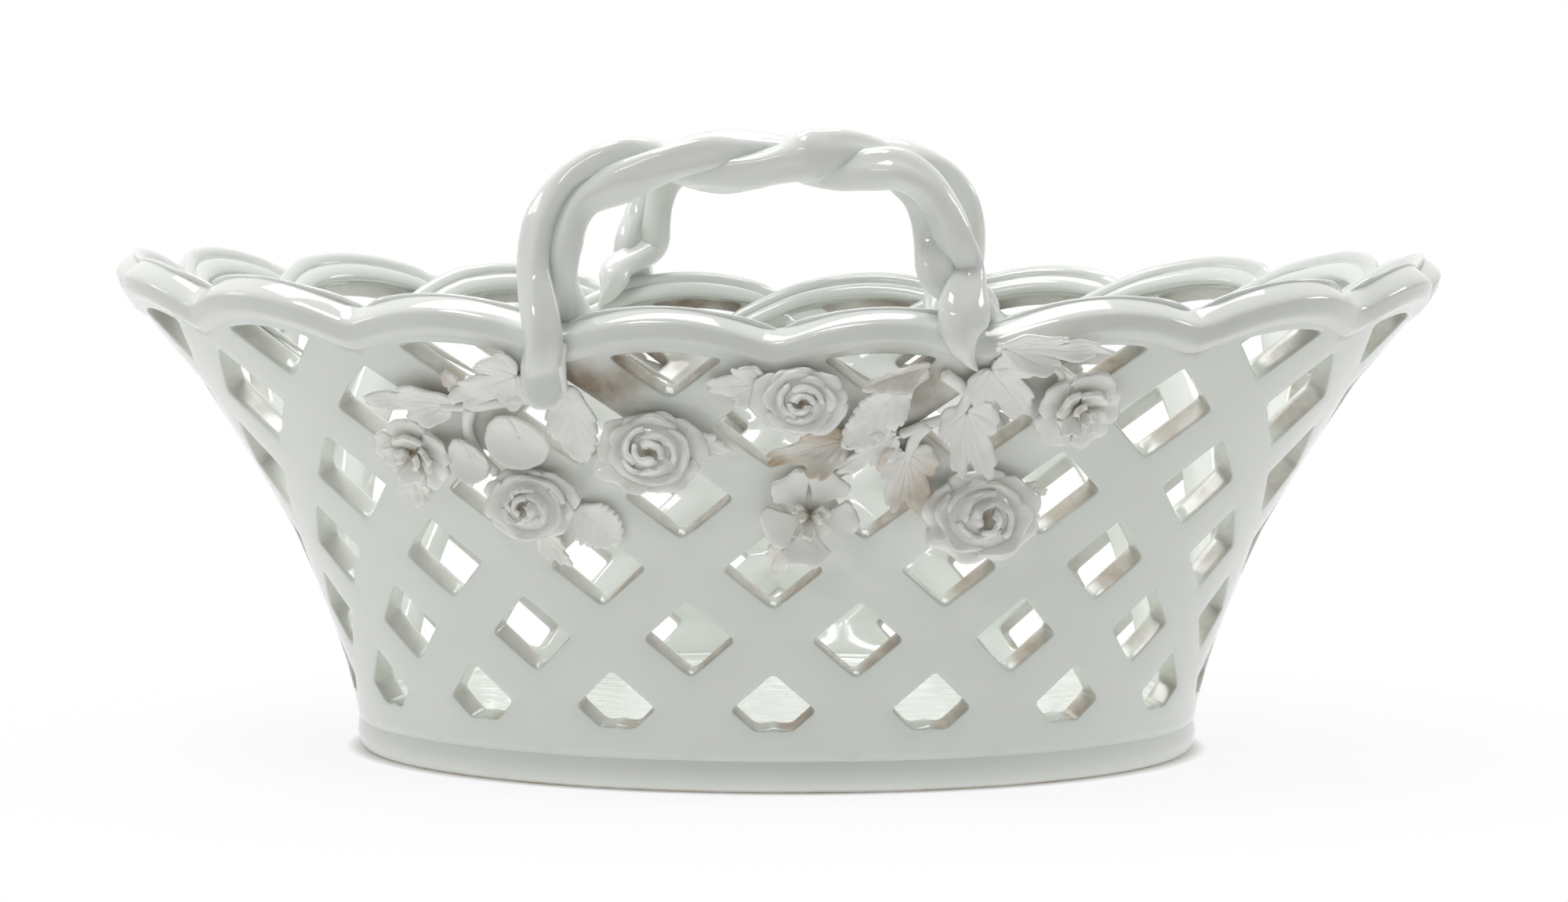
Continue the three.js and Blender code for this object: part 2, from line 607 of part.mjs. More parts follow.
function ornamentPieces() {
  const spaces = [beadSpace, toSolid(handleStrand(true, seatGap)), toSolid(handleStrand(false, seatGap))];
  const pieces = [];
  const add = (name, geometry, space) => {
    pieces.push([name, trimmed(geometry, spaces)]);
    if (space) {
      spaces.push(space);
    }
  };
  for (const [name, { placeShares, size, tiltShare }] of Object.entries(roseTable)) {
    const place = placeOf(placeShares);
    add(name, flower(place, roseDiameter * size, roseHeight * size, tiltShare, roseRingShares, roseStations),
      flowerSpace(place, roseDiameter * size, roseHeight * size));
  }
  for (const [name, { placeShares, size, tiltShare }] of Object.entries(blossomTable)) {
    const place = placeOf(placeShares);
    add(name, flower(place, blossomDiameter * size, blossomHeight * size, tiltShare, blossomRingShares,
      blossomStations), flowerSpace(place, blossomDiameter * size, blossomHeight * size));
  }
  for (const [name, { placeShares, sizeShare }] of Object.entries(petalTable)) {
    const place = placeOf(placeShares);
    const height = petalThickness * 2;
    add(name, flower(place, roseDiameter * sizeShare, height, 0, petalRingShares, petalStations),
      flowerSpace(place, roseDiameter * sizeShare, height));
  }
  for (const [name, { baseShares, tipShares, widthShare, curl, overBead }] of Object.entries(leafTable)) {
    const leaf = {
      base: placeOf(baseShares), tip: placeOf(tipShares), widthShare, curl, standOff: standOffOf(overBead),
    };
    add(name, leafBody(leaf), leafSpace(leaf));
  }
  for (const [name, { runs, overBead }] of Object.entries(stemTable)) {
    add(name, stem(runs, standOffOf(overBead)));
  }
  return pieces;
}

function addPiece(group, name, geometry, material) {
  const mesh = new THREE.Mesh(geometry, material);
  mesh.name = name;
  group.add(mesh);
}

const group = new THREE.Group();
addPiece(group, 'pierced_wall', piercedWall(), porcelain);
addPiece(group, 'rim_bead', rimBead(0), porcelain);
addPiece(group, 'foot_ring', footRing(), porcelain);
addPiece(group, 'floor_plate', floorPlate(), porcelain);

// The back carries the same handle and ornament, turned half round
const outerStrand = trimmed(handleStrand(true, 0), [beadSpace]);
const innerStrand = trimmed(handleStrand(false, 0), [beadSpace, toSolid(handleStrand(true, seatGap))]);
const ornaments = ornamentPieces();
for (const [side, turn] of [['front', 0], ['back', Math.PI]]) {
  const half = new THREE.Group();
  half.rotation.z = turn;
  addPiece(half, `${side}_handle_strand_outer`, outerStrand, porcelain);
  addPiece(half, `${side}_handle_strand_inner`, innerStrand, porcelain);
  for (const [name, geometry] of ornaments) {
    addPiece(half, `${side}_${name}`, geometry, bisque);
  }
  group.add(half);
}

export default group;
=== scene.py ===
"""Dress of the reticulated porcelain basket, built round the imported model.

Every surface is worked out with numpy in metres, +Z up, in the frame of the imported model. A place on the
bowl is given by its column (0 at the middle of the front, 18 round the oval), its level (height as
measured at the middle of a long side) and how far it stands off the outer face.
"""
import logging
import math
from collections.abc import Callable, Sequence
from dataclasses import dataclass, field, replace
from enum import Enum

import bmesh
import bpy
import numpy as np
from mathutils import Matrix, Vector


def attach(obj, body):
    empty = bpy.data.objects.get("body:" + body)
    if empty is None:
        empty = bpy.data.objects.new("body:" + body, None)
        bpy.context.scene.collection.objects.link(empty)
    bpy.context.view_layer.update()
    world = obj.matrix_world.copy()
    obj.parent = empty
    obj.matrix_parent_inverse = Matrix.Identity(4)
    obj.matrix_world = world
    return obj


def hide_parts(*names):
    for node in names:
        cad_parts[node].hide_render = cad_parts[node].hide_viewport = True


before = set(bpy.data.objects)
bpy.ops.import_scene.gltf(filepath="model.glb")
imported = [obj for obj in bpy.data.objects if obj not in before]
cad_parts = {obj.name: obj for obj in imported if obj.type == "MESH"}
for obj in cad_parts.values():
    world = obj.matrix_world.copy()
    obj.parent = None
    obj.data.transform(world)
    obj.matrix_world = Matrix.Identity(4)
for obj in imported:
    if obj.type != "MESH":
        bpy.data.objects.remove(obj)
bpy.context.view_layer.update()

BODY = "root"
MM = 0.001
# Distance over which the wall's slopes are taken
SLOPE_STEP = 0.3 * MM
# Points closer together than this become one
WELD = 2e-6
# Joint between a piece and what carries it
SEAT = 0.0003
# Thickness of a flower's outer petals and of a leaf
PETAL_THICKNESS = 0.0012
LEAF_THICKNESS = 0.001
# Depth of a leaf's veins, least half of its thickness, and how far its foot stands off
VEIN_DEPTH = 0.00017
LEAF_LEAST = 0.00012
LEAF_OFF = 0.0009
# How far the tip of a leaf of this length stands off for a curl of 1
LEAF_LIFT = 0.0026
LEAF_LENGTH = 0.018
# Points round the mound under a flower
MOUND_SIDES = 20
log = logging.getLogger("basket")


class Slot(Enum):
    """The record's material slots."""

    GLAZE = "glazed_porcelain"
    FLOWERS = "modelled_flowers"


class Side(Enum):
    """The two long sides, and how far the front's ornament is turned to stand on each."""

    FRONT = ("front", 0.0)
    BACK = ("back", math.pi)


def mixed(start: np.ndarray, end: np.ndarray, share: np.ndarray) -> np.ndarray:
    """Straight mix of two values: start plus share of the way to end."""
    return start + (end - start) * share


def smooth(share: np.ndarray) -> np.ndarray:
    """Soft step from 0 to 1: three squares of the share less two cubes, held outside 0 to 1."""
    held = np.clip(share, 0.0, 1.0)
    return held * held * (3 - 2 * held)


def unit(vectors: np.ndarray) -> np.ndarray:
    """Vectors at length 1."""
    return vectors / np.maximum(np.linalg.norm(vectors, axis=-1, keepdims=True), 1e-12)


@dataclass
class Shape:
    """Points, faces and named values per point of a mesh that is still being put together.

    Attributes:
        points: places, one row each.
        faces: index tables of quads or triangles.
        marks: values per point that a finish reads, by name.
    """

    points: np.ndarray
    faces: list[np.ndarray]
    marks: dict[str, np.ndarray] = field(default_factory=dict)


def quads(rows: int, stations: int, close_rows: bool = False, close_stations: bool = True) -> np.ndarray:
    """Faces of a grid of points kept row by row.

    Args:
        rows: number of rows.
        stations: points in a row.
        close_rows: whether the last row joins the first.
        close_stations: whether a row's last point joins its first.

    Returns:
        Indices, four to a face.
    """
    row = np.arange(rows if close_rows else rows - 1)[:, None] * stations
    station = np.arange(stations if close_stations else stations - 1)[None, :]
    after = (station + 1) % stations
    above = (row + stations) % (rows * stations)
    return np.stack([row + station, row + after, above + after, above + station], -1).reshape(-1, 4)


def joined(shapes: Sequence[Shape]) -> Shape:
    """Several shapes as one, with each mark that any of them has."""
    starts = np.cumsum([0] + [len(s.points) for s in shapes[:-1]])
    names = sorted({name for s in shapes for name in s.marks})
    marks = {n: np.concatenate([s.marks.get(n, np.zeros(len(s.points))) for s in shapes]) for n in names}
    faces = [table + start for s, start in zip(shapes, starts) for table in s.faces]
    return Shape(np.concatenate([s.points for s in shapes]), faces, marks)


def turned(shape: Shape, angle: float) -> Shape:
    """A copy of a shape turned about the basket's upright axis."""
    turn = np.array(Matrix.Rotation(angle, 3, "Z"))
    return Shape(shape.points @ turn.T, shape.faces, shape.marks)


def build_piece(name: str, shape: Shape, finish: bpy.types.Material,
                node: str) -> bpy.types.Object:
    """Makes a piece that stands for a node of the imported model.

    Args:
        name: the piece's name.
        shape: its points, faces and marks.
        finish: its material.
        node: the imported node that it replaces.

    Returns:
        The piece, riding on the basket's one body.
    """
    mesh = bpy.data.meshes.new(name)
    mesh.vertices.add(len(shape.points))
    mesh.vertices.foreach_set("co", shape.points.astype(np.float32).ravel())
    corners = np.concatenate([table.ravel() for table in shape.faces])
    sizes = np.concatenate([np.full(len(table), table.shape[1]) for table in shape.faces])
    mesh.loops.add(len(corners))
    mesh.loops.foreach_set("vertex_index", corners.astype(np.int32))
    mesh.polygons.add(len(sizes))
    mesh.polygons.foreach_set("loop_start", (np.cumsum(sizes) - sizes).astype(np.int32))
    mesh.update(calc_edges=True)
    for mark, values in shape.marks.items():
        mesh.attributes.new(mark, "FLOAT", "POINT").data.foreach_set("value", values.astype(np.float32))
    work = bmesh.new()
    work.from_mesh(mesh)
    bmesh.ops.remove_doubles(work, verts=work.verts, dist=WELD)
    bmesh.ops.dissolve_degenerate(work, dist=WELD, edges=work.edges)
    bmesh.ops.recalc_face_normals(work, faces=work.faces)
    work.to_mesh(mesh)
    work.free()
    mesh.polygons.foreach_set("use_smooth", np.ones(len(mesh.polygons), bool))
    mesh.materials.append(finish)
    piece = bpy.data.objects.new(name, mesh)
    bpy.context.scene.collection.objects.link(piece)
    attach(piece, BODY)
    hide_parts(node)
    log.info("%s: %d points, %d faces", name, len(mesh.vertices), len(mesh.polygons))
    return piece


@dataclass(frozen=True)
class Bowl:
    """The bowl's outer face and what is measured off it, in metres.

    Attributes:
        length: the oval at the bottom of the wall, end to end.
        width: the same from side to side.
        side_flare: how far the rim stands out at the middle of a long side.
        end_flare: the same at the two ends.
        quarter_flare: what the flare gains between them.
        flare_height: height over which the wall flares out.
        notch: top of the rim in the notch at the middle of a long side.
        rim_rise: how much higher the rim stands at the two ends.
        scallop_rise: how far each scallop rises over its notches.
        thickness: of the wall at the openings.
        crown: how much thicker a strap is along its middle.
        foot_height: height of the foot.
        lowest_sill: bottom of the lowest openings.
        columns: scallops round the rim.
        side_straight: share of the flare that goes up evenly at a long side.
        end_straight: the same at the ends.
        notch_round: softness of the notches, as a share of half a scallop.
    """

    length: float = 0.1766
    width: float = 0.1402
    side_flare: float = 0.0381
    end_flare: float = 0.046
    quarter_flare: float = 0.005
    flare_height: float = 0.0882
    notch: float = 0.0912
    rim_rise: float = 0.007
    scallop_rise: float = 0.0038
    thickness: float = 0.005
    crown: float = 0.0009
    foot_height: float = 0.0058
    lowest_sill: float = 0.0126
    columns: int = 18
    side_straight: float = 0.61
    end_straight: float = 0.37
    notch_round: float = 0.1

    def oval(self, angle: np.ndarray, offset: np.ndarray, height: np.ndarray) -> np.ndarray:
        """Point beside the base oval: the oval's point moved along its level normal by the offset."""
        half_length, half_width = self.length / 2, self.width / 2
        normal = unit(np.stack([half_width * np.sin(angle), half_length * np.cos(angle)], -1))
        x = half_length * np.sin(angle) + offset * normal[..., 0]
        y = -(half_width * np.cos(angle) + offset * normal[..., 1])
        return np.stack([x, y, height + 0 * angle], -1)

    def face(self, column: np.ndarray, level: np.ndarray) -> np.ndarray:
        """Outer face: the oval grows by a flare that is partly straight and partly square in the height."""
        column, level = np.broadcast_arrays(column, level)
        angle = column * 2 * np.pi / self.columns
        end = np.sin(angle) ** 2
        height = level + self.rim_rise * end * np.minimum(level / self.notch, 1) ** 3
        climbed = (height - self.foot_height) / self.flare_height
        straight = mixed(self.side_straight, self.end_straight, end)
        spread = straight * climbed + (1 - straight) * climbed**2
        flare = mixed(self.side_flare, self.end_flare, end) + self.quarter_flare * np.sin(2 * angle) ** 2
        return self.oval(angle, flare * spread, height)

    def normal(self, column: np.ndarray, level: np.ndarray) -> np.ndarray:
        """Outward normal: across the face's slopes along and up, made level at the foot."""
        turn = SLOPE_STEP / self.notch
        along = self.face(column + turn, level) - self.face(column - turn, level)
        up = self.face(column, level + SLOPE_STEP) - self.face(column, level - SLOPE_STEP)
        normal = unit(np.cross(along, up))
        fade = smooth((level - self.foot_height) / (self.lowest_sill - self.foot_height))
        normal[..., 2] *= np.broadcast_to(fade, normal.shape[:-1])
        return unit(normal)

    def point(self, column: np.ndarray, level: np.ndarray, offset: np.ndarray) -> np.ndarray:
        """Point that stands off the outer face by the offset, along the normal."""
        column, level, offset = np.broadcast_arrays(column, level, offset)
        return self.face(column, level) + self.normal(column, level) * offset[..., None]

    def scale(self, column: float, level: float) -> tuple[float, float]:
        """Metres on the face for one column, and for one metre of level, at a place."""
        step = SLOPE_STEP
        turn = step / self.notch
        ends = self.face(np.array([column + turn, column - turn, column, column]),
                         np.array([level, level, level + step, level - step]))
        along = np.linalg.norm(ends[0] - ends[1]) / (2 * turn)
        up = np.linalg.norm(ends[2] - ends[3]) / (2 * step)
        return float(along), float(up)

    def scallop(self, column: np.ndarray) -> np.ndarray:
        """Rise of the rim: a parabola over each column whose notches are rounded off."""
        near = 1 - np.abs(2 * (column - np.floor(column)) - 1)
        soft = self.notch_round
        eased = (np.sqrt(near**2 + soft**2) - soft) / (math.sqrt(1 + soft**2) - soft)
        return self.scallop_rise * (2 * eased - eased**2)

    def arch(self, column: np.ndarray) -> np.ndarray:
        """Rise of the plain arch over each column, with sharp notches."""
        from_crest = 2 * (column - np.floor(column)) - 1
        return self.scallop_rise * (1 - from_crest**2)


BOWL = Bowl()


def node_of(tree: bpy.types.NodeTree, kind: str, **inputs: object) -> bpy.types.Node:
    """Adds a shader node.

    Args:
        tree: the material's nodes.
        kind: type of the node.
        inputs: socket values by name, with spaces written as underscores; a socket is linked instead.

    Returns:
        The new node.
    """
    node = tree.nodes.new(kind)
    for name, value in inputs.items():
        socket = node.inputs[int(name[1:])] if name[0] == "i" and name[1:].isdigit() else node.inputs[
            name.replace("_", " ")]
        if isinstance(value, bpy.types.NodeSocket):
            tree.links.new(value, socket)
        else:
            socket.default_value = value
    return node


def worked(tree: bpy.types.NodeTree, operation: str, *values: object, kind: str = "ShaderNodeMath",
           output: str = "Value") -> bpy.types.NodeSocket:
    """Adds a node of arithmetic.

    Args:
        tree: the material's nodes.
        operation: what it works out.
        values: numbers or sockets that it works on.
        kind: type of the node.
        output: name of the socket wanted.

    Returns:
        The socket of the result.
    """
    node = node_of(tree, kind, **{f"i{k}": value for k, value in enumerate(values)})
    node.operation = operation
    return node.outputs[output]


def ranged(tree: bpy.types.NodeTree, value: bpy.types.NodeSocket, source: Sequence[float],
           target: Sequence[object] = (0.0, 1.0)) -> bpy.types.NodeSocket:
    """Maps a value straight from one range to another, held at its ends, and gives the result's socket."""
    return node_of(tree, "ShaderNodeMapRange", Value=value, From_Min=source[0], From_Max=source[1],
                   To_Min=target[0], To_Max=target[1]).outputs[0]


# Noise in the glaze, in waves to a metre
CLOUD_SCALE = 55.0
GRAIN_SCALE = 420.0
# Dark specks: cells to a metre, the patches that they come in, their strength and their colour
SPECK_SCALE = 140.0
SPECK_PATCH_SCALE = 37.0
SPECK_STRENGTH = 0.6
SPECK_COLOUR = (0.25, 0.19, 0.13)
# Share of the body's colour in its darker clouds
CLOUDED = 0.965
# How much rougher a place is under the mark of stains and painted shade
STAIN_AND_SHADE_ROUGHNESS = 0.3
BUMP_DEPTH = 0.0006
GLAZE_IOR = 1.5
# Light that goes into the body: its reach in metres, and the reach's shares in red, green and blue
GLOW_REACH = 0.003
GLOW_COLOUR = (1.0, 0.9, 0.75)


@dataclass(frozen=True)
class CeramicFinish:
    """A glazed ceramic surface.

    Attributes:
        name: the material's name.
        body: colour of the glazed body.
        pooled: colour where the glaze lies thick.
        stained_and_shaded: colour of the stained cut faces and hollows, and of the painted shade on the cut
            faces and round the ornament.
        roughness: of the glaze.
        bump: height of the fine unevenness, as a share.
        ripple_scale: size of that unevenness, in waves to a metre.
        specks: share of the surface that the dark specks take.
        glow: share of the light that goes through thin parts.
    """

    name: str
    body: tuple[float, float, float]
    pooled: tuple[float, float, float]
    stained_and_shaded: tuple[float, float, float]
    roughness: float
    bump: float
    ripple_scale: float
    specks: float
    glow: float

    def material(self) -> bpy.types.Material:
        """Builds the node material from the mark of stains and painted shade, the mark 'pool' and noise on
        Object coordinates.
        """
        material = bpy.data.materials.new(self.name)
        material.use_nodes = True
        tree = material.node_tree
        shader = tree.nodes["Principled BSDF"]
        place = node_of(tree, "ShaderNodeTexCoord").outputs["Object"]
        cloud = self.noise(tree, place, CLOUD_SCALE, 3.0)
        uneven = worked(tree, "ADD", cloud, self.noise(tree, place, GRAIN_SCALE, 4.0))
        patchy = ranged(tree, uneven, (0.7, 1.25), (0.6, 1.05))
        # Stains and painted shade take the brown colour, unevenly
        stained_and_shaded = worked(tree, "MULTIPLY", self.mark(tree, "stain"), patchy)
        tint = self.mix(tree, cloud, self.body, tuple(CLOUDED * c for c in self.body))
        tint = self.mix(tree, self.mark(tree, "pool"), tint, self.pooled)
        tint = self.mix(tree, stained_and_shaded, tint, self.stained_and_shaded)
        tint = self.mix(tree, self.specked(tree, place), tint, SPECK_COLOUR)
        ripple = self.noise(tree, place, self.ripple_scale, 2.0)
        bump = node_of(tree, "ShaderNodeBump", Height=ripple, Strength=self.bump, Distance=BUMP_DEPTH)
        dull = ranged(tree, stained_and_shaded, (0.0, 1.0), (self.roughness, self.roughness + STAIN_AND_SHADE_ROUGHNESS))
        tree.links.new(tint, shader.inputs["Base Color"])
        tree.links.new(bump.outputs[0], shader.inputs["Normal"])
        tree.links.new(dull, shader.inputs["Roughness"])
        shader.inputs["IOR"].default_value = GLAZE_IOR
        shader.inputs["Subsurface Weight"].default_value = self.glow
        shader.inputs["Subsurface Radius"].default_value = GLOW_COLOUR
        shader.inputs["Subsurface Scale"].default_value = GLOW_REACH
        return material

    def noise(self, tree: bpy.types.NodeTree, place: bpy.types.NodeSocket, scale: float,
              detail: float) -> bpy.types.NodeSocket:
        """Socket of a noise on the piece's own coordinates."""
        return node_of(tree, "ShaderNodeTexNoise", Vector=place, Scale=scale, Detail=detail).outputs["Fac"]

    def specked(self, tree: bpy.types.NodeTree, place: bpy.types.NodeSocket) -> bpy.types.NodeSocket:
        """Share of dark speck: near the middle of a cell, in the few patches that have any."""
        cell = node_of(tree, "ShaderNodeTexVoronoi", Vector=place, Scale=SPECK_SCALE, Randomness=1.0)
        near = ranged(tree, cell.outputs["Distance"], (self.specks, self.specks * 0.5), (0.0, SPECK_STRENGTH))
        rare = ranged(tree, self.noise(tree, place, SPECK_PATCH_SCALE, 0.0), (0.62, 0.7))
        return worked(tree, "MULTIPLY", near, rare)

    def mark(self, tree: bpy.types.NodeTree, name: str) -> bpy.types.NodeSocket:
        """Socket that reads one of the mesh's marks."""
        node = tree.nodes.new("ShaderNodeAttribute")
        node.attribute_name = name
        return node.outputs["Fac"]

    def mix(self, tree: bpy.types.NodeTree, share: bpy.types.NodeSocket, start: object,
            end: object) -> bpy.types.NodeSocket:
        """Mixes two colours, each a colour or a socket, and gives the mix's socket."""
        node = tree.nodes.new("ShaderNodeMix")
        node.data_type = "RGBA"
        tree.links.new(share, node.inputs["Factor"])
        for name, value in (("A", start), ("B", end)):
            socket = next(s for s in node.inputs if s.name == name and s.type == "RGBA")
            if isinstance(value, bpy.types.NodeSocket):
                tree.links.new(value, socket)
            else:
                socket.default_value = (*value, 1.0)
        return next(s for s in node.outputs if s.type == "RGBA")


GLAZED = CeramicFinish(
    name="glazed_porcelain",
    body=(0.81, 0.832, 0.792),
    pooled=(0.68, 0.78, 0.71),
    stained_and_shaded=(0.31, 0.25, 0.18),
    roughness=0.07,
    bump=0.14,
    ripple_scale=60.0,
    specks=0.012,
    glow=0.12,
)
# Painted light: the flowers are the same porcelain as the wall, but their body is set lighter for the light
# that falls on them from above
MODELLED = CeramicFinish(
    name="modelled_flowers",
    body=(0.955, 0.95, 0.915),
    pooled=(0.84, 0.88, 0.81),
    stained_and_shaded=(0.5, 0.39, 0.27),
    roughness=0.14,
    bump=0.14,
    ripple_scale=260.0,
    specks=0.008,
    glow=0.12,
)
# Painted light: the handles' body is set lighter than the wall's glaze, for the light that catches their tops
ROLLED = replace(GLAZED, name="rolled_handles", body=(0.87, 0.89, 0.855), bump=0.6, ripple_scale=105.0)

Line = Callable[[np.ndarray], np.ndarray]


def straight(start: tuple[float, float], end: tuple[float, float]) -> Line:
    """Straight side of a cell or opening, as a function of the share run along it."""
    near, far = np.array(start), np.array(end)
    return lambda share: near + (far - near) * share[:, None]


# Strength of the brown and painted shade round the ornament
BROWN_AND_SHADE_STRENGTH = 1.4
# Brown patches round the ornament, partly the glaze's brown and partly painted shade in the hollows between
# its
# pieces: column, share of the rim's height, half width in columns, half height as a share, and depth of the
# colour
BROWNED_AND_SHADED = ((-1.05, 0.915, 0.1, 0.03, 0.5), (-0.91, 0.908, 0.1, 0.035, 0.6), (-0.78, 0.88, 0.12, 0.035, 0.65),
           (-0.66, 0.915, 0.1, 0.03, 0.6), (-0.6, 0.95, 0.1, 0.02, 0.35), (-1.6, 0.86, 0.12, 0.03, 0.4),
           (-1.42, 0.8, 0.08, 0.03, 0.35), (0.3, 0.955, 0.06, 0.02, 0.4), (0.53, 0.935, 0.09, 0.03, 0.75),
           (0.64, 0.8, 0.08, 0.03, 0.5), (0.83, 0.81, 0.11, 0.035, 0.65), (1.02, 0.91, 0.1, 0.03, 0.6),
           (1.0, 0.78, 0.1, 0.03, 0.5), (0.76, 0.86, 0.08, 0.03, 0.4), (0.09, 0.81, 0.1, 0.03, 0.3),
           (0.4, 0.7, 0.1, 0.03, 0.3), (1.27, 0.9, 0.1, 0.025, 0.35),
           (0.73, 0.905, 0.1, 0.035, 0.6), (0.63, 0.87, 0.08, 0.03, 0.5))


@dataclass
class PiercedWall:
    """The lattice wall: one cell round each opening, from the middle of a strap to the opening's side.

    Attributes:
        bowl: the wall's face.
        rows: rows of openings.
        first_row: middle of the lowest row.
        top_row_drop: how far the middle of the top row lies under the notches.
        strap_height: a strap measured straight up, beside the lowest row.
        strap_thinning: what the straps lose with each row.
        bead_height: height of the rim bead on the wall.
        bead_web: wall left between the top openings and the bead.
        seat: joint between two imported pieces.
        corner_reach: where the rounding of an opening's corner starts.
        edge_round: radius of the openings' edges outside.
        inner_round: radius of their edges inside.
        drop: size of the bead of glaze that has run into the bottom corner of an opening.
        steps: parts that each side of an opening is divided into.
        corner_share: share of a side that belongs to the rounding at each end.
        dip: how far the outer face falls towards an opening.
    """

    bowl: Bowl = BOWL
    rows: int = 6
    first_row: float = 0.0167
    top_row_drop: float = 0.003
    strap_height: float = 0.0136
    strap_thinning: float = 0.00055
    bead_height: float = 0.0052
    bead_web: float = 0.0017
    seat: float = SEAT
    corner_reach: float = 0.0011
    edge_round: float = 0.0004
    inner_round: float = 0.0008
    drop: float = 0.0006
    steps: int = 10
    corner_share: float = 0.3
    dip: float = 0.00015

    def shares(self, steps: int) -> np.ndarray:
        """Places along a side, closer together in the roundings and the same from either end."""
        corner = np.linspace(0, self.corner_share, 4)[:-1]
        middle = np.linspace(self.corner_share, 1 - self.corner_share, steps - 5)
        return np.concatenate([corner, middle, 1 - corner[:0:-1]])

    def rim_edge(self, column: np.ndarray) -> np.ndarray:
        """Level of the wall's top edge under the bead."""
        return self.bowl.notch - self.bead_height - self.seat + self.bowl.arch(column)

    def cell(self, row: int) -> tuple[list[Line], list[Line], list[int], int]:
        """Sides of a cell and of its opening, how each side is divided, and the first side of its free edge.

        Args:
            row: row of the opening, from 0 at the bottom.

        Returns:
            The cell's sides, the opening's sides, the parts of each, and the free side's index or -1.
        """
        pitch = (self.bowl.notch - self.top_row_drop - self.first_row) / (self.rows - 1)
        middle = self.first_row + row * pitch
        share = 1 - (self.strap_height - self.strap_thinning * row) / (2 * pitch)
        reach = pitch * share
        cusp = float(self.rim_edge(np.array(0.0)))
        bottom = self.bowl.foot_height - self.seat
        if row == 0:
            sill = share - (middle - self.bowl.lowest_sill) / pitch
            edge = [(0, middle + pitch), (0.5, middle), (0.5, bottom), (-0.5, bottom), (-0.5, middle)]
            hole = [(0, middle + reach), (share / 2, middle), (sill / 2, self.bowl.lowest_sill),
                    (-sill / 2, self.bowl.lowest_sill), (-share / 2, middle)]
            return self.polygon(edge), self.polygon(hole), [self.steps] * 5, 2
        if row == self.rows - 1:
            sill = middle - reach - self.strap_thinning
            corner = (cusp - self.bead_web - sill + self.bowl.scallop_rise * share) / (2 * pitch)
            edge = self.arched(0.5, 0.0, middle - pitch)
            return edge, self.arched(corner, self.bead_web, sill), [2 * self.steps, self.steps, self.steps], 0
        top = cusp if row == self.rows - 2 else middle + pitch
        edge = [(0, top), (0.5, middle), (0, middle - pitch), (-0.5, middle)]
        hole = [(0, middle + reach), (share / 2, middle), (0, middle - reach), (-share / 2, middle)]
        return self.polygon(edge), self.polygon(hole), [self.steps] * 4, -1

    def polygon(self, corners: Sequence[tuple[float, float]]) -> list[Line]:
        """Straight sides from corner to corner and back to the first."""
        return [straight(a, b) for a, b in zip(corners, [*corners[1:], corners[0]])]

    def arched(self, half: float, web: float, bottom: float) -> list[Line]:
        """An arch under the rim's edge, closed by two straight sides that meet at a bottom point."""
        def over(share: np.ndarray) -> np.ndarray:
            across = half * (2 * share - 1)
            return np.stack([across, self.rim_edge(0.5 + np.clip(across, -0.5, 0.4999999)) - web], -1)
        ends = over(np.array([0.0, 1.0]))
        if half == 0.5:
            ends[:, 1] = self.rim_edge(np.array(0.0))
        return [over, straight(tuple(ends[1]), (0, bottom)), straight((0, bottom), tuple(ends[0]))]

    def loop(self, sides: list[Line], parts: list[int], rounded: bool) -> np.ndarray:
        """Runs once round a cell or an opening.

        A rounded corner is a quadratic curve: it leaves one side at the corner's reach, is drawn towards
        the corner and joins the next side at the same reach.

        Args:
            sides: functions of the share run along each side.
            parts: how many parts each side has.
            rounded: whether the corners are rounded.

        Returns:
            Column and level of each point.
        """
        along, _ = self.bowl.scale(0.0, self.bowl.notch / 2)
        lengths = []
        for side in sides:
            ends = side(np.array([0.0, 1.0]))
            lengths.append(np.hypot((ends[1, 0] - ends[0, 0]) * along, ends[1, 1] - ends[0, 1]))
        pull = [min(0.45, self.corner_reach / max(length, MM)) for length in lengths]
        runs = []
        for i, side in enumerate(sides):
            share = self.shares(parts[i])
            if not rounded:
                runs.append(side(share))
                continue
            before, after = i - 1, (i + 1) % len(sides)
            corner = self.corner_share
            inner = np.clip((share - corner) / (1 - 2 * corner), 0, 1)
            run = side(pull[i] + inner * (1 - 2 * pull[i]))
            start = self.bend(sides[before](np.array([1 - pull[before]])), side(np.array([0.0])),
                              side(np.array([pull[i]])), 0.5 + share / (2 * corner))
            end = self.bend(side(np.array([1 - pull[i]])), side(np.array([1.0])),
                            sides[after](np.array([pull[after]])), (share - 1 + corner) / (2 * corner))
            run = np.where((share < corner)[:, None], start, run)
            run = np.where((share > 1 - corner)[:, None], end, run)
            runs.append(run)
        return np.concatenate(runs)

    def bend(self, start: np.ndarray, corner: np.ndarray, end: np.ndarray, share: np.ndarray) -> np.ndarray:
        """Quadratic curve from start to end, drawn towards the corner."""
        s = np.clip(share, 0, 1)[:, None]
        return (1 - s) ** 2 * start + 2 * s * (1 - s) * corner + s**2 * end

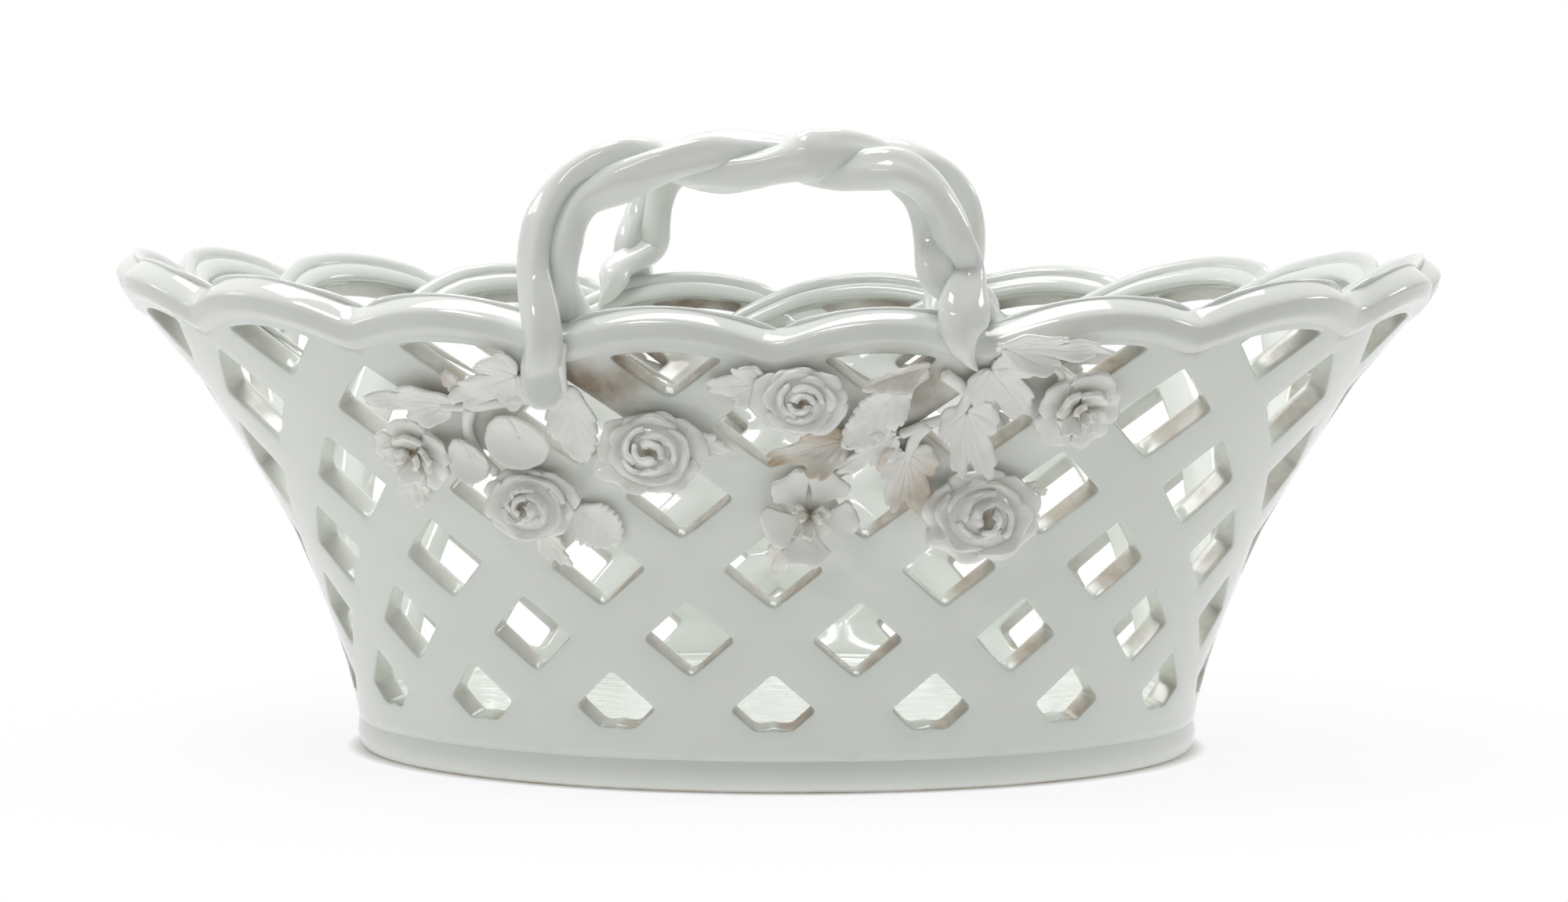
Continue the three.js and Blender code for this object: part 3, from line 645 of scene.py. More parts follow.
    def layers(self) -> list[tuple[float, float, float, float]]:
        """Section of a strap from its middle outside, round the opening's side, to its middle inside.

        Returns:
            For each layer: share from the rounding to the strap's middle, radii back from the opening's
            side, depth below the outer face, and share of the cut face.
        """
        quarter = np.radians([0, 30, 60, 90])
        outside = [(q, 1.0, self.dip * (1 - q) ** 2, 0.0) for q in (1.0, 0.6, 0.25)]
        over = [(0.0, 1 - math.sin(a), self.dip + self.edge_round * (1 - math.cos(a)), math.sin(a) ** 3)
                for a in quarter]
        deep = self.bowl.thickness - self.inner_round
        face = [(0.0, 0.0, mixed(self.edge_round, deep, share), 1.0) for share in (0.25, 0.5, 0.75)]
        turn = self.inner_round / self.edge_round
        under = [(0.0, (1 - math.cos(a)) * turn, deep + self.inner_round * math.sin(a), math.cos(a) ** 3)
                 for a in quarter]
        inside = [(q, turn, self.bowl.thickness + self.bowl.crown * math.sin(q * math.pi / 2), 0.0)
                  for q in (0.2, 0.45, 0.7, 1.0)]
        return [*outside, *over, *face, *under, *inside]

    def row_shape(self, row: int) -> Shape:
        """All the cells of one row.

        Args:
            row: row of the openings, from 0 at the bottom.

        Returns:
            Their points and faces, marked where the side of an opening is cut, with painted shade on the cut
            faces at its lower right, where glaze lies thick, and with brown and painted shade round the
            ornament.
        """
        edge_sides, hole_sides, parts, free = self.cell(row)
        edge = self.loop(edge_sides, parts, False)
        hole = self.loop(hole_sides, parts, True)
        count = len(edge)
        along, _ = self.bowl.scale(0.0, self.bowl.notch / 2)
        gap = np.hypot((edge[:, 0] - hole[:, 0]) * along, edge[:, 1] - hole[:, 1])
        back = self.edge_round / gap
        layers = np.array(self.layers())
        share = np.clip(layers[:, :1] * (1 - back) + layers[:, 1:2] * back, 0, 1)
        middle = hole.mean(0)
        rightward = (hole[:, 0] - middle[0]) * along
        downward = middle[1] - hole[:, 1]
        low = smooth((downward - 0.5 * downward.max()) / (0.5 * downward.max()))
        flat = mixed(hole[None], edge[None], share[..., None])
        inner = np.sin(np.pi * np.clip(layers[:, 2] / self.bowl.thickness, 0, 1)) * (layers[:, 0] == 0)
        bottom = np.exp(-((rightward / 0.0011) ** 2)) * (downward > 0)
        flat[..., 1] += self.drop * inner[:, None] ** 0.5 * bottom
        columns = np.arange(self.bowl.columns) + (row % 2) / 2
        column = (columns[:, None, None] + flat[None, ..., 0]) % self.bowl.columns
        level = np.broadcast_to(flat[None, ..., 1], column.shape)
        points = self.bowl.point(column, level, -layers[None, :, 2:3])
        table = quads(len(layers), count)
        faces = [table]
        if free >= 0:
            first = sum(parts[:free])
            run = np.arange(first, first + parts[free])
            after = (run + 1) % count
            last = (len(layers) - 1) * count
            faces.append(np.stack([last + run, last + after, after, run], -1))
        every = [np.concatenate([f + k * len(layers) * count for k in range(self.bowl.columns)])
                 for f in faces]
        lean = np.arctan2(rightward, downward)
        # Painted shade: over their beige staining, the cut faces at the lower right of each opening are
        # darkened
        lower_right_shade = 0.5 + 0.8 * np.exp(-((lean - 0.9) / 0.7) ** 2)
        stain = layers[:, 3:4] * lower_right_shade[None] * (1 - 0.6 * bottom)
        lined = 0.25 * np.exp(-(layers[:, :1] / 0.3) ** 2)
        pool = np.maximum(layers[:, 3:4] * low[None] * 0.7, lined + 0 * stain)
        half = self.bowl.columns / 2
        aside = (column + half / 2) % half - half / 2
        # Painted shade on the cut faces is stronger towards the middle of each long side
        facing = 0.45 + 0.55 * np.exp(-(aside / 2.4) ** 2)
        patchy = stain[None] * facing + self.browned_and_shaded(column, level) * (1 + 0.8 * layers[None, :, 3:4])
        foot = 0.15 * np.exp(-((level - self.bowl.foot_height) / 0.0022) ** 2) * (layers[None, :, 2:3] < MM)
        marks = {"stain": np.clip(patchy, 0, 1).ravel(), "pool": np.maximum(pool[None], foot).ravel()}
        return Shape(points.reshape(-1, 3), every, marks)

    def browned_and_shaded(self, column: np.ndarray, level: np.ndarray) -> np.ndarray:
        """Share of brown on the face round the ornament: partly the glaze's own brown, partly painted shade
        in the hollows between its pieces.
        """
        brown = np.zeros(column.shape)
        half_round = self.bowl.columns / 2
        for at, share, wide, high, deep in BROWNED_AND_SHADED:
            up = (level / self.bowl.notch - share) / high
            for turn in (0, half_round):
                across = (column - at - turn + half_round) % self.bowl.columns - half_round
                brown += deep * np.exp(-(across / wide) ** 2 - up**2)
        return BROWN_AND_SHADE_STRENGTH * brown

    def shape(self) -> Shape:
        """The whole wall, row on row; shared borders are welded when the piece is made."""
        return joined([self.row_shape(row) for row in range(self.rows)])


# How far each of the two ribs lies under the top of the band, and its size
RIBS = ((0.0012, 0.8), (0.0038, 1.0))


@dataclass
class RimBead:
    """The scalloped rim: a smooth band outside, and inside a double rib over each arch.

    Attributes:
        wall: the pierced wall that carries it.
        height: of the band, over the top of the wall.
        proud: how far the band stands out of the wall outside.
        stations: sections in each scallop.
        rib_reach: how far a rib runs on past its arch, in columns.
        rib_round: radius of a rib.
        rib_fall: how far a rib falls after its arch.
        rib_parting: share of the arch after which a rib leaves it.
    """

    wall: PiercedWall
    height: float = 0.0036
    proud: float = 0.0007
    stations: int = 20
    rib_reach: float = 0.55
    rib_round: float = 0.0016
    rib_fall: float = 0.0122
    rib_parting: float = 0.86

    def band(self) -> Shape:
        """The band: a closed section carried round the rim, over its scallops."""
        high = self.height
        inside = self.wall.bowl.thickness + self.wall.bowl.crown
        section = np.array([
            (-0.0012, -0.0016), (-0.0002, -0.0011), (0.00012, -0.0004), (0.0003, 0.0002),
            (self.proud * 0.8, high * 0.2), (self.proud, high * 0.34), (self.proud * 0.8, high * 0.46),
            (0.0003, high * 0.62), (-0.0002, high * 0.78), (-0.0004, high * 0.86), (-0.0006, high * 0.93),
            (-0.0011, high * 0.985), (-0.002, high * 1.01), (-inside * 0.6, high),
            (-inside * 0.92, high * 0.96), (-inside * 1.14, high * 0.86), (-inside * 1.14, high * 0.6),
            (-inside * 1.08, high * 0.3), (-inside * 1.0, 0.0), (-inside * 0.9, -0.0012),
        ])
        bowl = self.wall.bowl
        column = np.arange(bowl.columns * self.stations) / self.stations
        base = bowl.notch - self.wall.bead_height + bowl.scallop(column)
        points = bowl.point(column[:, None], base[:, None] + section[None, :, 1], section[None, :, 0])
        return Shape(points.reshape(-1, 3), [quads(len(column), len(section), close_rows=True)])

    def ribs(self) -> Shape:
        """Two rounded ribs inside each arch, which pass over the next arch and run down into a strap.

        A rib's middle line follows the arch to its right end and then falls along the strap; the
        section is a flattened circle that thins out at both ends.
        """
        bowl = self.wall.bowl
        inside = bowl.thickness + bowl.crown
        whole = 1 + self.rib_reach
        run = np.linspace(0, whole, 44)
        past = np.clip(run - self.rib_parting, 0, None)
        over = np.clip(run, 0, self.rib_parting)
        rise = bowl.scallop_rise * (1 - (2 * over - 1) ** 2)
        slope = bowl.scallop_rise * 4 * (1 - 2 * self.rib_parting)
        left = whole - self.rib_parting
        fall = slope * past - (self.rib_fall + slope * left) * (past / left) ** 1.35
        ends = smooth(run / 0.14) * smooth((whole - run) / 0.4)
        turn = np.linspace(0, 2 * np.pi, 10, endpoint=False)
        parts = []
        for drop, size in RIBS:
            level = bowl.notch - self.wall.bead_height + self.height - drop + rise + fall
            radius = self.rib_round * size * (0.25 + 0.75 * ends)
            lift = inside + 0.0001 + 0.0009 * smooth((run - 0.7) / 0.3) * ends
            column = np.arange(bowl.columns)[:, None, None] + run[None, :, None] + 0 * turn
            height = level[None, :, None] + radius[None, :, None] * np.sin(turn)
            offset = -(lift[None, :, None] + 0.62 * radius[None, :, None] * np.cos(turn))
            points = bowl.point(column % bowl.columns, height, offset)
            strip = quads(len(run), len(turn))
            first = np.arange(len(turn))
            caps = np.stack([np.full(len(turn) - 2, 0), first[1:-1], first[2:]], -1)
            last = caps + (len(run) - 1) * len(turn)
            starts = np.arange(bowl.columns) * len(run) * len(turn)
            tables = [(table[None] + starts[:, None, None]).reshape(-1, table.shape[1])
                      for table in (strip, caps, last)]
            parts.append(Shape(points.reshape(-1, 3), tables))
        return joined(parts)

    def shape(self) -> Shape:
        """The band with its ribs."""
        return joined([self.band(), self.ribs()])


@dataclass
class Foot:
    """The low foot band under the wall.

    Attributes:
        bowl: the bowl that stands on it.
        inset: how far its bottom edge is drawn in.
        bulge: how far it stands out at its middle.
        thickness: of the band.
        recess: how high the underside of the floor lies.
        stations: sections round the oval.
    """

    bowl: Bowl = BOWL
    inset: float = 0.0012
    bulge: float = 0.00044
    thickness: float = 0.0062
    recess: float = 0.002
    stations: int = 240

    def shape(self) -> Shape:
        """A closed section, rounded where the foot meets the wall and the table, carried round the oval."""
        high = self.bowl.foot_height
        section = np.array([
            (-0.0016, high * 1.18), (0.00003, high * 1.2), (0.0001, high * 1.13), (0.00018, high * 1.05),
            (0.0003, high * 0.93), (self.bulge, high * 0.78), (self.bulge * 1.05, high * 0.62),
            (self.bulge * 0.7, high * 0.42), (0.0, high * 0.26), (-0.0005, high * 0.12),
            (-self.inset, 0.0002), (-self.inset - 0.0006, 0.0),
            (-self.thickness + 0.0006, 0.0), (-self.thickness, 0.0003),
            (-self.thickness - 0.0006, self.recess), (-self.thickness - 0.004, self.recess + 0.0002),
            (-self.thickness - 0.004, high * 0.9),
        ])
        angle = np.linspace(0, 2 * np.pi, self.stations, endpoint=False)
        points = self.bowl.oval(angle[:, None] + 0 * section[:, 0], section[None, :, 0], section[None, :, 1])
        bare = np.array([0, 0, 0, 0, 0, 0, 0, 0, 0, 0.1, 0.7, 1, 1, 0.8, 0.2, 0, 0], float)
        pool = np.array([0.15, 0.15, 0.15, 0.1, 0.1, 0, 0, 0, 0, 0.1, 0, 0, 0, 0, 0, 0, 0], float)
        marks = {"stain": np.tile(bare, self.stations), "pool": np.tile(pool, self.stations)}
        return Shape(points.reshape(-1, 3), [quads(self.stations, len(section), close_rows=True)], marks)


# Distance from one wiping mark to the next, for the broad marks and the fainter ones between them
WIPED = (0.0031, 0.0047)


@dataclass
class Floor:
    """The bowl's floor, which runs up into the wall in a hollow curve.

    Attributes:
        bowl: the bowl round it.
        top: height of the floor.
        underside: height of its underside.
        fillet: radius of the hollow curve.
        ripple: height of the wiping marks on it.
        stations: points round the oval.
    """

    bowl: Bowl = BOWL
    top: float = 0.0092
    underside: float = 0.0023
    fillet: float = 0.0026
    ripple: float = 0.00011
    stations: int = 200

    def shape(self) -> Shape:
        """Rings of the floor from its heart to the wall, then down outside and back below.

        The hollow curve is a quarter circle between floor and wall; the wiping marks are sines across
        the basket that wander along it.
        """
        angle = np.linspace(0, 2 * np.pi, self.stations, endpoint=False)
        inside = self.bowl.thickness + self.bowl.crown
        quarter = np.radians(np.linspace(0, 78, 8))
        out = [(-inside - self.fillet + self.fillet * math.sin(a), self.top + self.fillet * (1 - math.cos(a)))
               for a in quarter]

        def ring(offset: float, height: float) -> np.ndarray:
            return self.bowl.oval(angle, offset + 0 * angle, height + 0 * angle)

        edge = ring(out[0][0], self.top)
        rings = [edge * np.array([share, share, 1.0]) for share in np.linspace(0, 1, 70)[:-1]]
        rings += [ring(offset, height) for offset, height in out]
        wall = -self.bowl.thickness * 0.6
        rings += [ring(wall, out[-1][1]), ring(wall, self.underside)]
        rings.append(rings[-1] * np.array([0.9, 0.9, 1.0]))
        rings.append(rings[-1] * np.array([0.0, 0.0, 1.0]))
        points = np.concatenate(rings)
        level = np.isclose(points[:, 2], self.top)
        x, y = points[:, 0], points[:, 1]
        wander = 0.0016 * np.sin(60 * x + 2) + 0.0009 * np.sin(170 * x)
        broad = np.sin((y + wander) * 2 * np.pi / WIPED[0])
        marks = broad + 0.6 * np.sin((y - 0.7 * wander) * 2 * np.pi / WIPED[1])
        points[:, 2] += np.where(level, self.ripple * marks, 0.0)
        return Shape(points, [quads(len(rings), self.stations)],
                     {"pool": np.where(level, 0.25 * (marks < 0), 0.1)})


def curve_through(points: np.ndarray, samples: int) -> np.ndarray:
    """Smooth curve through points, evenly divided.

    A centripetal Catmull-Rom curve: between two points it is the cubic whose end slopes come from their
    neighbours, weighed by the square roots of the distances.

    Args:
        points: the points that it passes through.
        samples: number of points wanted.

    Returns:
        Points at even distances along the curve.
    """
    padded = np.concatenate([[2 * points[0] - points[1]], points, [2 * points[-1] - points[-2]]])
    gaps = np.maximum(np.linalg.norm(np.diff(padded, axis=0), axis=1) ** 0.5, 1e-6)
    share = np.linspace(0, 1, 24, endpoint=False)[:, None]
    runs = []
    for i in range(1, len(padded) - 2):
        p0, p1, p2, p3 = padded[i - 1:i + 3]
        d0, d1, d2 = gaps[i - 1:i + 2]
        t1 = ((p1 - p0) / d0 - (p2 - p0) / (d0 + d1) + (p2 - p1) / d1) * d1
        t2 = ((p2 - p1) / d1 - (p3 - p1) / (d1 + d2) + (p3 - p2) / d2) * d1
        s, s2, s3 = share, share**2, share**3
        runs.append(p1 * (2 * s3 - 3 * s2 + 1) + t1 * (s3 - 2 * s2 + s)
                    + p2 * (3 * s2 - 2 * s3) + t2 * (s3 - s2))
    line = np.concatenate([*runs, points[-1:]])
    return resampled(line, samples)


def resampled(line: np.ndarray, samples: int) -> np.ndarray:
    """The same line with points at even distances."""
    walked = np.concatenate([[0], np.cumsum(np.linalg.norm(np.diff(line, axis=0), axis=1))])
    wanted = np.linspace(0, walked[-1], samples)
    return np.stack([np.interp(wanted, walked, line[:, k]) for k in range(3)], -1)


def tube(path: np.ndarray, radius: np.ndarray, sides: int, facet: float = 0.0, twist: float = 0.0) -> Shape:
    """A rod along a path, closed at both ends.

    Each section is a circle across the path, whose radius swells and sinks a little round it so that
    the rod looks rolled by hand.

    Args:
        path: middle line.
        radius: of each section.
        sides: points round a section.
        facet: share by which the radius varies round the section.
        twist: turns of that variation along the rod.

    Returns:
        The rod.
    """
    tangent = unit(np.gradient(path, axis=0))
    side = np.empty_like(path)
    side[0] = unit(np.cross(tangent[0], np.array([0.31, 0.2, 0.93])))
    for i in range(1, len(path)):
        carried = side[i - 1] - tangent[i] * np.dot(side[i - 1], tangent[i])
        side[i] = carried / np.linalg.norm(carried)
    other = np.cross(tangent, side)
    turn = np.linspace(0, 2 * np.pi, sides, endpoint=False)
    run = np.linspace(0, 1, len(path))[:, None]
    wave = 1 + facet * np.cos(3 * turn + 2 * np.pi * twist * run) + 0.5 * facet * np.cos(
        5 * turn - 2 * np.pi * 0.7 * twist * run)
    reach = radius[:, None] * wave
    points = path[:, None] + reach[..., None] * (
        np.cos(turn)[None, :, None] * side[:, None] + np.sin(turn)[None, :, None] * other[:, None])
    ends = np.stack([path[0], path[-1]])
    count = len(path) * sides
    around = np.arange(sides)
    after = (around + 1) % sides
    caps = np.concatenate([np.stack([np.full(sides, count), after, around], -1),
                           np.stack([np.full(sides, count + 1), around + count - sides,
                                     after + count - sides], -1)])
    return Shape(np.concatenate([points.reshape(-1, 3), ends]), [quads(len(path), sides), caps])


# Half turns that the strands have made round each other at shares of the handle's middle line: at 0 the
# outer strand lies in front, at a half beside the other, at 1 behind it
TWIST = ((0, 0.15), (0.09, 0.45), (0.2, 0.5), (0.28, 0.6), (0.36, 1), (0.47, 1.5), (0.58, 2), (0.66, 2.5),
         (0.74, 3), (0.82, 3.15), (0.91, 3.35), (1, 3.8))

# Middle line of a handle from the left foot to the right one, as shares of the half span and of the rise
HANDLE_LINE = ((-1.02, 0.1), (-1, 0.48), (-0.9, 0.78), (-0.66, 0.94), (-0.25, 0.99), (0.25, 1.01),
               (0.66, 0.96), (0.84, 0.8), (0.94, 0.45), (1, 0.1))


@dataclass
class Handle:
    """A handle of two twisted strands, cut off like twigs at their feet.

    Attributes:
        wall: the wall that carries it.
        half_span: from its middle to a leg.
        offset: how far the front handle stands to the left.
        height: middle of the strands at the top.
        radius: of a strand.
        together: from the handle's middle line to a strand's.
        left_reach: how far a strand runs down the wall at the left, from the top of the bead.
        right_reach: the same at the right.
        overhang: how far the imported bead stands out.
        stub_swell: a cut-off twig that swells one strand.
        spread: how much of the way apart the strands are where they meet the rim.
        sunk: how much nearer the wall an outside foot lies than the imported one.
        stump: how much thicker a strand is at its cut-off foot.
        calyx: how much thicker the inner strand is before its point.
        fullness: how much thicker a strand is at the handle's top.
        unevenness: how much its thickness wavers along it.
        facet: share by which a strand's radius varies round it.
        twist: turns of that variation along a strand.
        sides: points round a strand.
    """

    wall: PiercedWall
    half_span: float = 0.038
    offset: float = 0.0035
    height: float = 0.124
    radius: float = 0.0032
    together: float = 0.0024
    left_reach: float = 0.013
    right_reach: float = 0.008
    overhang: float = 0.0011
    stub_swell: float = 0.0009
    spread: float = 0.2
    sunk: float = 0.0022
    stump: float = 0.00075
    calyx: float = 0.0015
    fullness: float = 0.0005
    unevenness: float = 0.0002
    facet: float = 0.095
    twist: float = 4.0
    sides: int = 26

    def middle(self) -> np.ndarray:
        """Middle line over both legs, as shares of the half span and of the rise."""
        bowl = self.wall.bowl
        inside = bowl.thickness + bowl.crown
        depth = bowl.point(np.array(1.0), np.array(bowl.notch), np.array(-inside / 2))[1]
        bottom = bowl.notch + bowl.scallop_rise
        shares = np.array(HANDLE_LINE)
        points = np.stack([shares[:, 0] * self.half_span - self.offset, np.full(len(shares), depth),
                           bottom + shares[:, 1] * (self.height - bottom)], -1)
        return curve_through(points, 401)

    def strand_path(self, outer: bool) -> np.ndarray:
        """Middle line of one strand: it winds round the handle's line and lands on either side of the wall.

        Args:
            outer: whether this is the strand that lies outside the wall at the left foot.

        Returns:
            Points along it.
        """
        side = 1 if outer else -1
        line = self.middle()
        share = np.linspace(0, 1, len(line))
        tangent = unit(np.gradient(line, axis=0))
        ahead = np.array([0.0, -1.0, 0.0])
        up = unit(np.cross(ahead, tangent))
        turn = np.pi * np.interp(share, *np.array(TWIST).T)
        inside = self.wall.bowl.thickness + self.wall.bowl.crown
        apart = inside / 2 + self.overhang + self.radius + self.wall.seat
        close = self.together * (1 - 0.2 * np.sin(np.pi * share) ** 2)
        radius = mixed(close, apart, self.spread * np.abs(2 * share - 1) ** 8)
        wound = line + side * radius[:, None] * (np.cos(turn)[:, None] * ahead + np.sin(turn)[:, None] * up)
        left = self.landing((-1.03, -0.07) if outer else (-0.97, 0.0), outer, self.left_reach)[::-1]
        right = self.landing((0.97, 0.14) if outer else (0.83, 0.12), not outer, self.right_reach)
        return curve_through(np.concatenate([left, wound[20:-20:20], right]), 190)

    def landing(self, place: tuple[float, float], outside: bool, reach: float) -> np.ndarray:
        """Three points over the rim and down the wall, outside or inside it.

        Args:
            place: the column where it crosses the rim, and how far along the rim it then runs.
            outside: whether it lies outside the wall.
            reach: how far it runs down from the top of the bead.

        Returns:
            The three points.
        """
        bowl = self.wall.bowl
        column, turn_in = place
        clear = self.radius + self.wall.seat
        beside = clear if outside else -(bowl.thickness + bowl.crown + clear)
        over_bead = beside + (self.overhang if outside else -self.overhang)
        level = float(self.wall.rim_edge(np.array(column)))
        high = self.wall.bead_height
        columns = np.array([column, column + turn_in / 2, column + turn_in])
        levels = np.array([level + high * 0.9, level, level + high - reach])
        offsets = np.array([over_bead, over_bead, beside + self.wall.seat]) - (self.sunk if outside else 0.0)
        return bowl.point(columns, levels, offsets)

    def strand(self, outer: bool) -> Shape:
        """One strand: a hand-rolled rod, swollen and cut off at the left foot, pointed at the right."""
        path = self.strand_path(outer)
        share = np.linspace(0, 1, len(path))
        round_end = np.sqrt(np.clip(1 - (1 - np.clip(share / 0.02, 0, 1)) ** 2, 0.02, 1))
        reach = 0.05 if outer else 0.085
        point_end = np.maximum(np.clip((1 - share) / reach, 0, 1) ** 0.75, 0.06)
        stump = self.stump * np.exp(-((share - 0.05) / 0.045) ** 2)
        calyx = (0.0 if outer else self.calyx) * np.exp(-((share - 0.9) / 0.055) ** 2)
        knob = (1.0 if outer else 0.0) * self.stub_swell * np.exp(-((share - 0.6) / 0.018) ** 2)
        phase = 0.2 if outer else 0.7
        slow = self.unevenness * np.sin(2 * np.pi * (2.3 * share + phase))
        thick = slow + 1.1 * self.unevenness * np.sin(2 * np.pi * (8.3 * share + phase))
        body = self.radius + self.fullness * np.sin(np.pi * share) ** 2
        radius = (body + stump + calyx + thick) * round_end * point_end + knob
        return tube(path, radius, self.sides, self.facet, self.twist)

    def shape(self, outer: bool) -> Shape:
        """One strand with its marks: glaze gathers where it runs beside the other."""
        made = self.strand(outer)
        other = self.strand_path(not outer)
        centre = self.strand_path(outer)
        if outer:
            cut = unit(np.array([0.12, -1.0, -0.12]))
            out = (made.points - centre[5]) @ cut - self.radius * 0.8
            near = np.linalg.norm(made.points - centre[5], axis=-1) < self.radius * 2.2
            made.points = made.points - np.where(near & (out > 0), out, 0.0)[:, None] * cut
        index = np.minimum(np.arange(len(made.points)) // self.sides, len(centre) - 1)
        nearest = np.linalg.norm(made.points[:, None] - other[None, ::4], axis=-1).min(1)
        pool = 0.9 * smooth((self.radius * 1.5 - nearest) / (self.radius * 0.7))
        foot = smooth((0.012 - np.linalg.norm(centre[index] - centre[0], axis=-1)) / 0.006)
        made.marks["pool"] = np.maximum(pool, 0.15 * foot)
        return made


@dataclass(frozen=True)
class Place:
    """A place on the wall's outer face: column, level, and how far it stands off."""

    column: float
    level: float
    off: float = SEAT


# Least height at which a tilted piece still follows its own shape over the wall
PRESSED = 0.0012


def laid(flat: np.ndarray, place: Place, tilt: float = 0.0, lift: float = 0.0,
         drop: float = 0.0) -> np.ndarray:
    """Lays flat coordinates (across, up, off) on the wall round a place, after a turn that lets them look up.

    Where the turned piece would sink into the wall it is pressed flat over it: under the least height it
    stands off by that height times e to the power of its own height over the least one, less one.

    Args:
        flat: the coordinates.
        place: where their origin lies.
        tilt: how far the piece looks up, in degrees.
        lift: how far it is then moved off the wall.
        drop: how far it is then moved down it.

    Returns:
        Points round the wall.
    """
    slant = math.radians(tilt)
    up = flat[:, 1] * math.cos(slant) + flat[:, 2] * math.sin(slant) - drop
    off = flat[:, 2] * math.cos(slant) - flat[:, 1] * math.sin(slant) + lift
    off = np.where(off > PRESSED, off, PRESSED * np.exp(np.minimum(off / PRESSED - 1, 0)))
    along, upward = BOWL.scale(place.column, place.level)
    return BOWL.point(place.column + flat[:, 0] / along, place.level + up / upward, place.off + off)


def shell(surface: np.ndarray, half: np.ndarray, marks: dict[str, np.ndarray]) -> Shape:
    """A thin closed body on both sides of a surface.

    Each point is moved along the surface's normal by half the thickness, both ways, and the two skins
    are joined round the border.

    Args:
        surface: grid of points.
        half: half the thickness at each.
        marks: values at each.

    Returns:
        The closed body.
    """
    first, second = np.gradient(surface, axis=0), np.gradient(surface, axis=1)
    normal = unit(np.cross(first, second))
    rows, stations = surface.shape[:2]
    upper = (surface + normal * half[..., None]).reshape(-1, 3)
    lower = (surface - normal * half[..., None]).reshape(-1, 3)
    skin = quads(rows, stations, close_stations=False)
    index = np.arange(rows * stations).reshape(rows, stations)
    border = np.concatenate([index[0, :-1], index[:-1, -1], index[-1, :0:-1], index[:0:-1, 0]])
    after = np.roll(border, -1)
    count = rows * stations
    band = np.stack([border, after, after + count, border + count], -1)
    both = {name: np.concatenate([values.ravel()] * 2) for name, values in marks.items()}
    return Shape(np.concatenate([upper, lower]), [skin, skin[:, ::-1] + count, band], both)


@dataclass(frozen=True)
class Ring:
    """A ring of like petals: cupped patches that leave the flower's heart and turn over at their lips.

    Attributes:
        count: petals in it.
        spread: half the angle that each covers.
        reach: distance of base and lip from the axis, as shares of the flower's radius.
        rise: heights of base and lip, as shares of the flower's height.
        cup: 0 for a flat petal, 1 for one that leaves flat and ends upright.
        curl: how far the lip turns over, as a share of the height.
        ruffle: waviness of the lip.
        round_off: how much shorter a petal is at its sides.
        fan: width at its base, as a share of that at its lip.
        lean: how far the lip leans back inwards, as a share of the radius.
        squash: height of the ring, as a share of its breadth.
        paste: thickness of a petal, as a share of the outer ones'.
        skew: how much further out one side stands than the middle, so that petals overlap.
    """

    count: int
    spread: float
    reach: tuple[float, float]
    rise: tuple[float, float]
    cup: float
    curl: float
    ruffle: float
    round_off: float
    fan: float = 0.6
    lean: float = 0.0
    squash: float = 1.0
    paste: float = 1.0
    skew: float = 0.05

    def surface(self, turn: float, radius: float, height: float,
                phase: float) -> tuple[np.ndarray, np.ndarray]:
        """Grid of a petal's points in flat coordinates, and how deep each lies in the flower.

        Outwards the distance follows a quarter sine and the height a power, the more so the deeper the
        cup; the lip falls again. Sideways the petal widens like a fan and its end is rounded and nicked.

        Args:
            turn: direction of its middle, in radians.
            radius: of the flower.
            height: of the flower.
            phase: shifts the ruffles.

        Returns:
            The points, and depths from 0 at the lip to 1 at the heart.
        """
        along = np.linspace(0, 1, 12)[:, None]
        side = np.linspace(-1, 1, 23)[None, :]
        nicks = 0.018 * np.sin(9 * side + 3 * phase) + 0.014 * np.sin(17 * side + 5 * phase)
        length = along * (1 - self.round_off * np.abs(side) ** 2.8 + nicks * along**3)
        held = np.clip(length, 0, 1)
        quarter = np.sin(held * np.pi / 2)
        fan = mixed(self.fan, 1.0, np.sin(held * np.pi / 1.9))
        angle = turn + self.spread * side * fan
        wave = self.ruffle * np.sin(2.1 * np.pi * side + phase) * length**3
        run = mixed(length, quarter, self.cup)
        climb = mixed(quarter, length**2, self.cup)
        out = mixed(self.reach[0], self.reach[1], run) + self.skew * side * length + 0.7 * wave
        out = out - self.lean * held**4
        up = mixed(self.rise[0], self.rise[1], climb) - self.curl * length**7 + wave
        points = np.stack([radius * out * np.sin(angle), radius * out * np.cos(angle) * self.squash,
                           height * up + 0 * angle], -1)
        return points, 1 - held + 0 * side

    def petal(self, turn: float, radius: float, height: float, phase: float) -> Shape:
        """A petal with its thickness, thinner towards the lip, marked where glaze gathers at its base."""
        points, depth = self.surface(turn, radius, height, phase)
        half = PETAL_THICKNESS * self.paste / 2 * (0.66 + 0.34 * np.sqrt(np.clip(depth / 0.3, 0, 1)))
        pool = 0.7 * smooth((depth - 0.2) / 0.6)
        lip = 0.3 * (depth < 0.04) * (0.5 + 0.5 * math.sin(phase * 3))
        stain = np.maximum(0.3 * smooth((depth - 0.8) / 0.2), lip)
        return shell(points, half, {"pool": pool, "stain": stain})


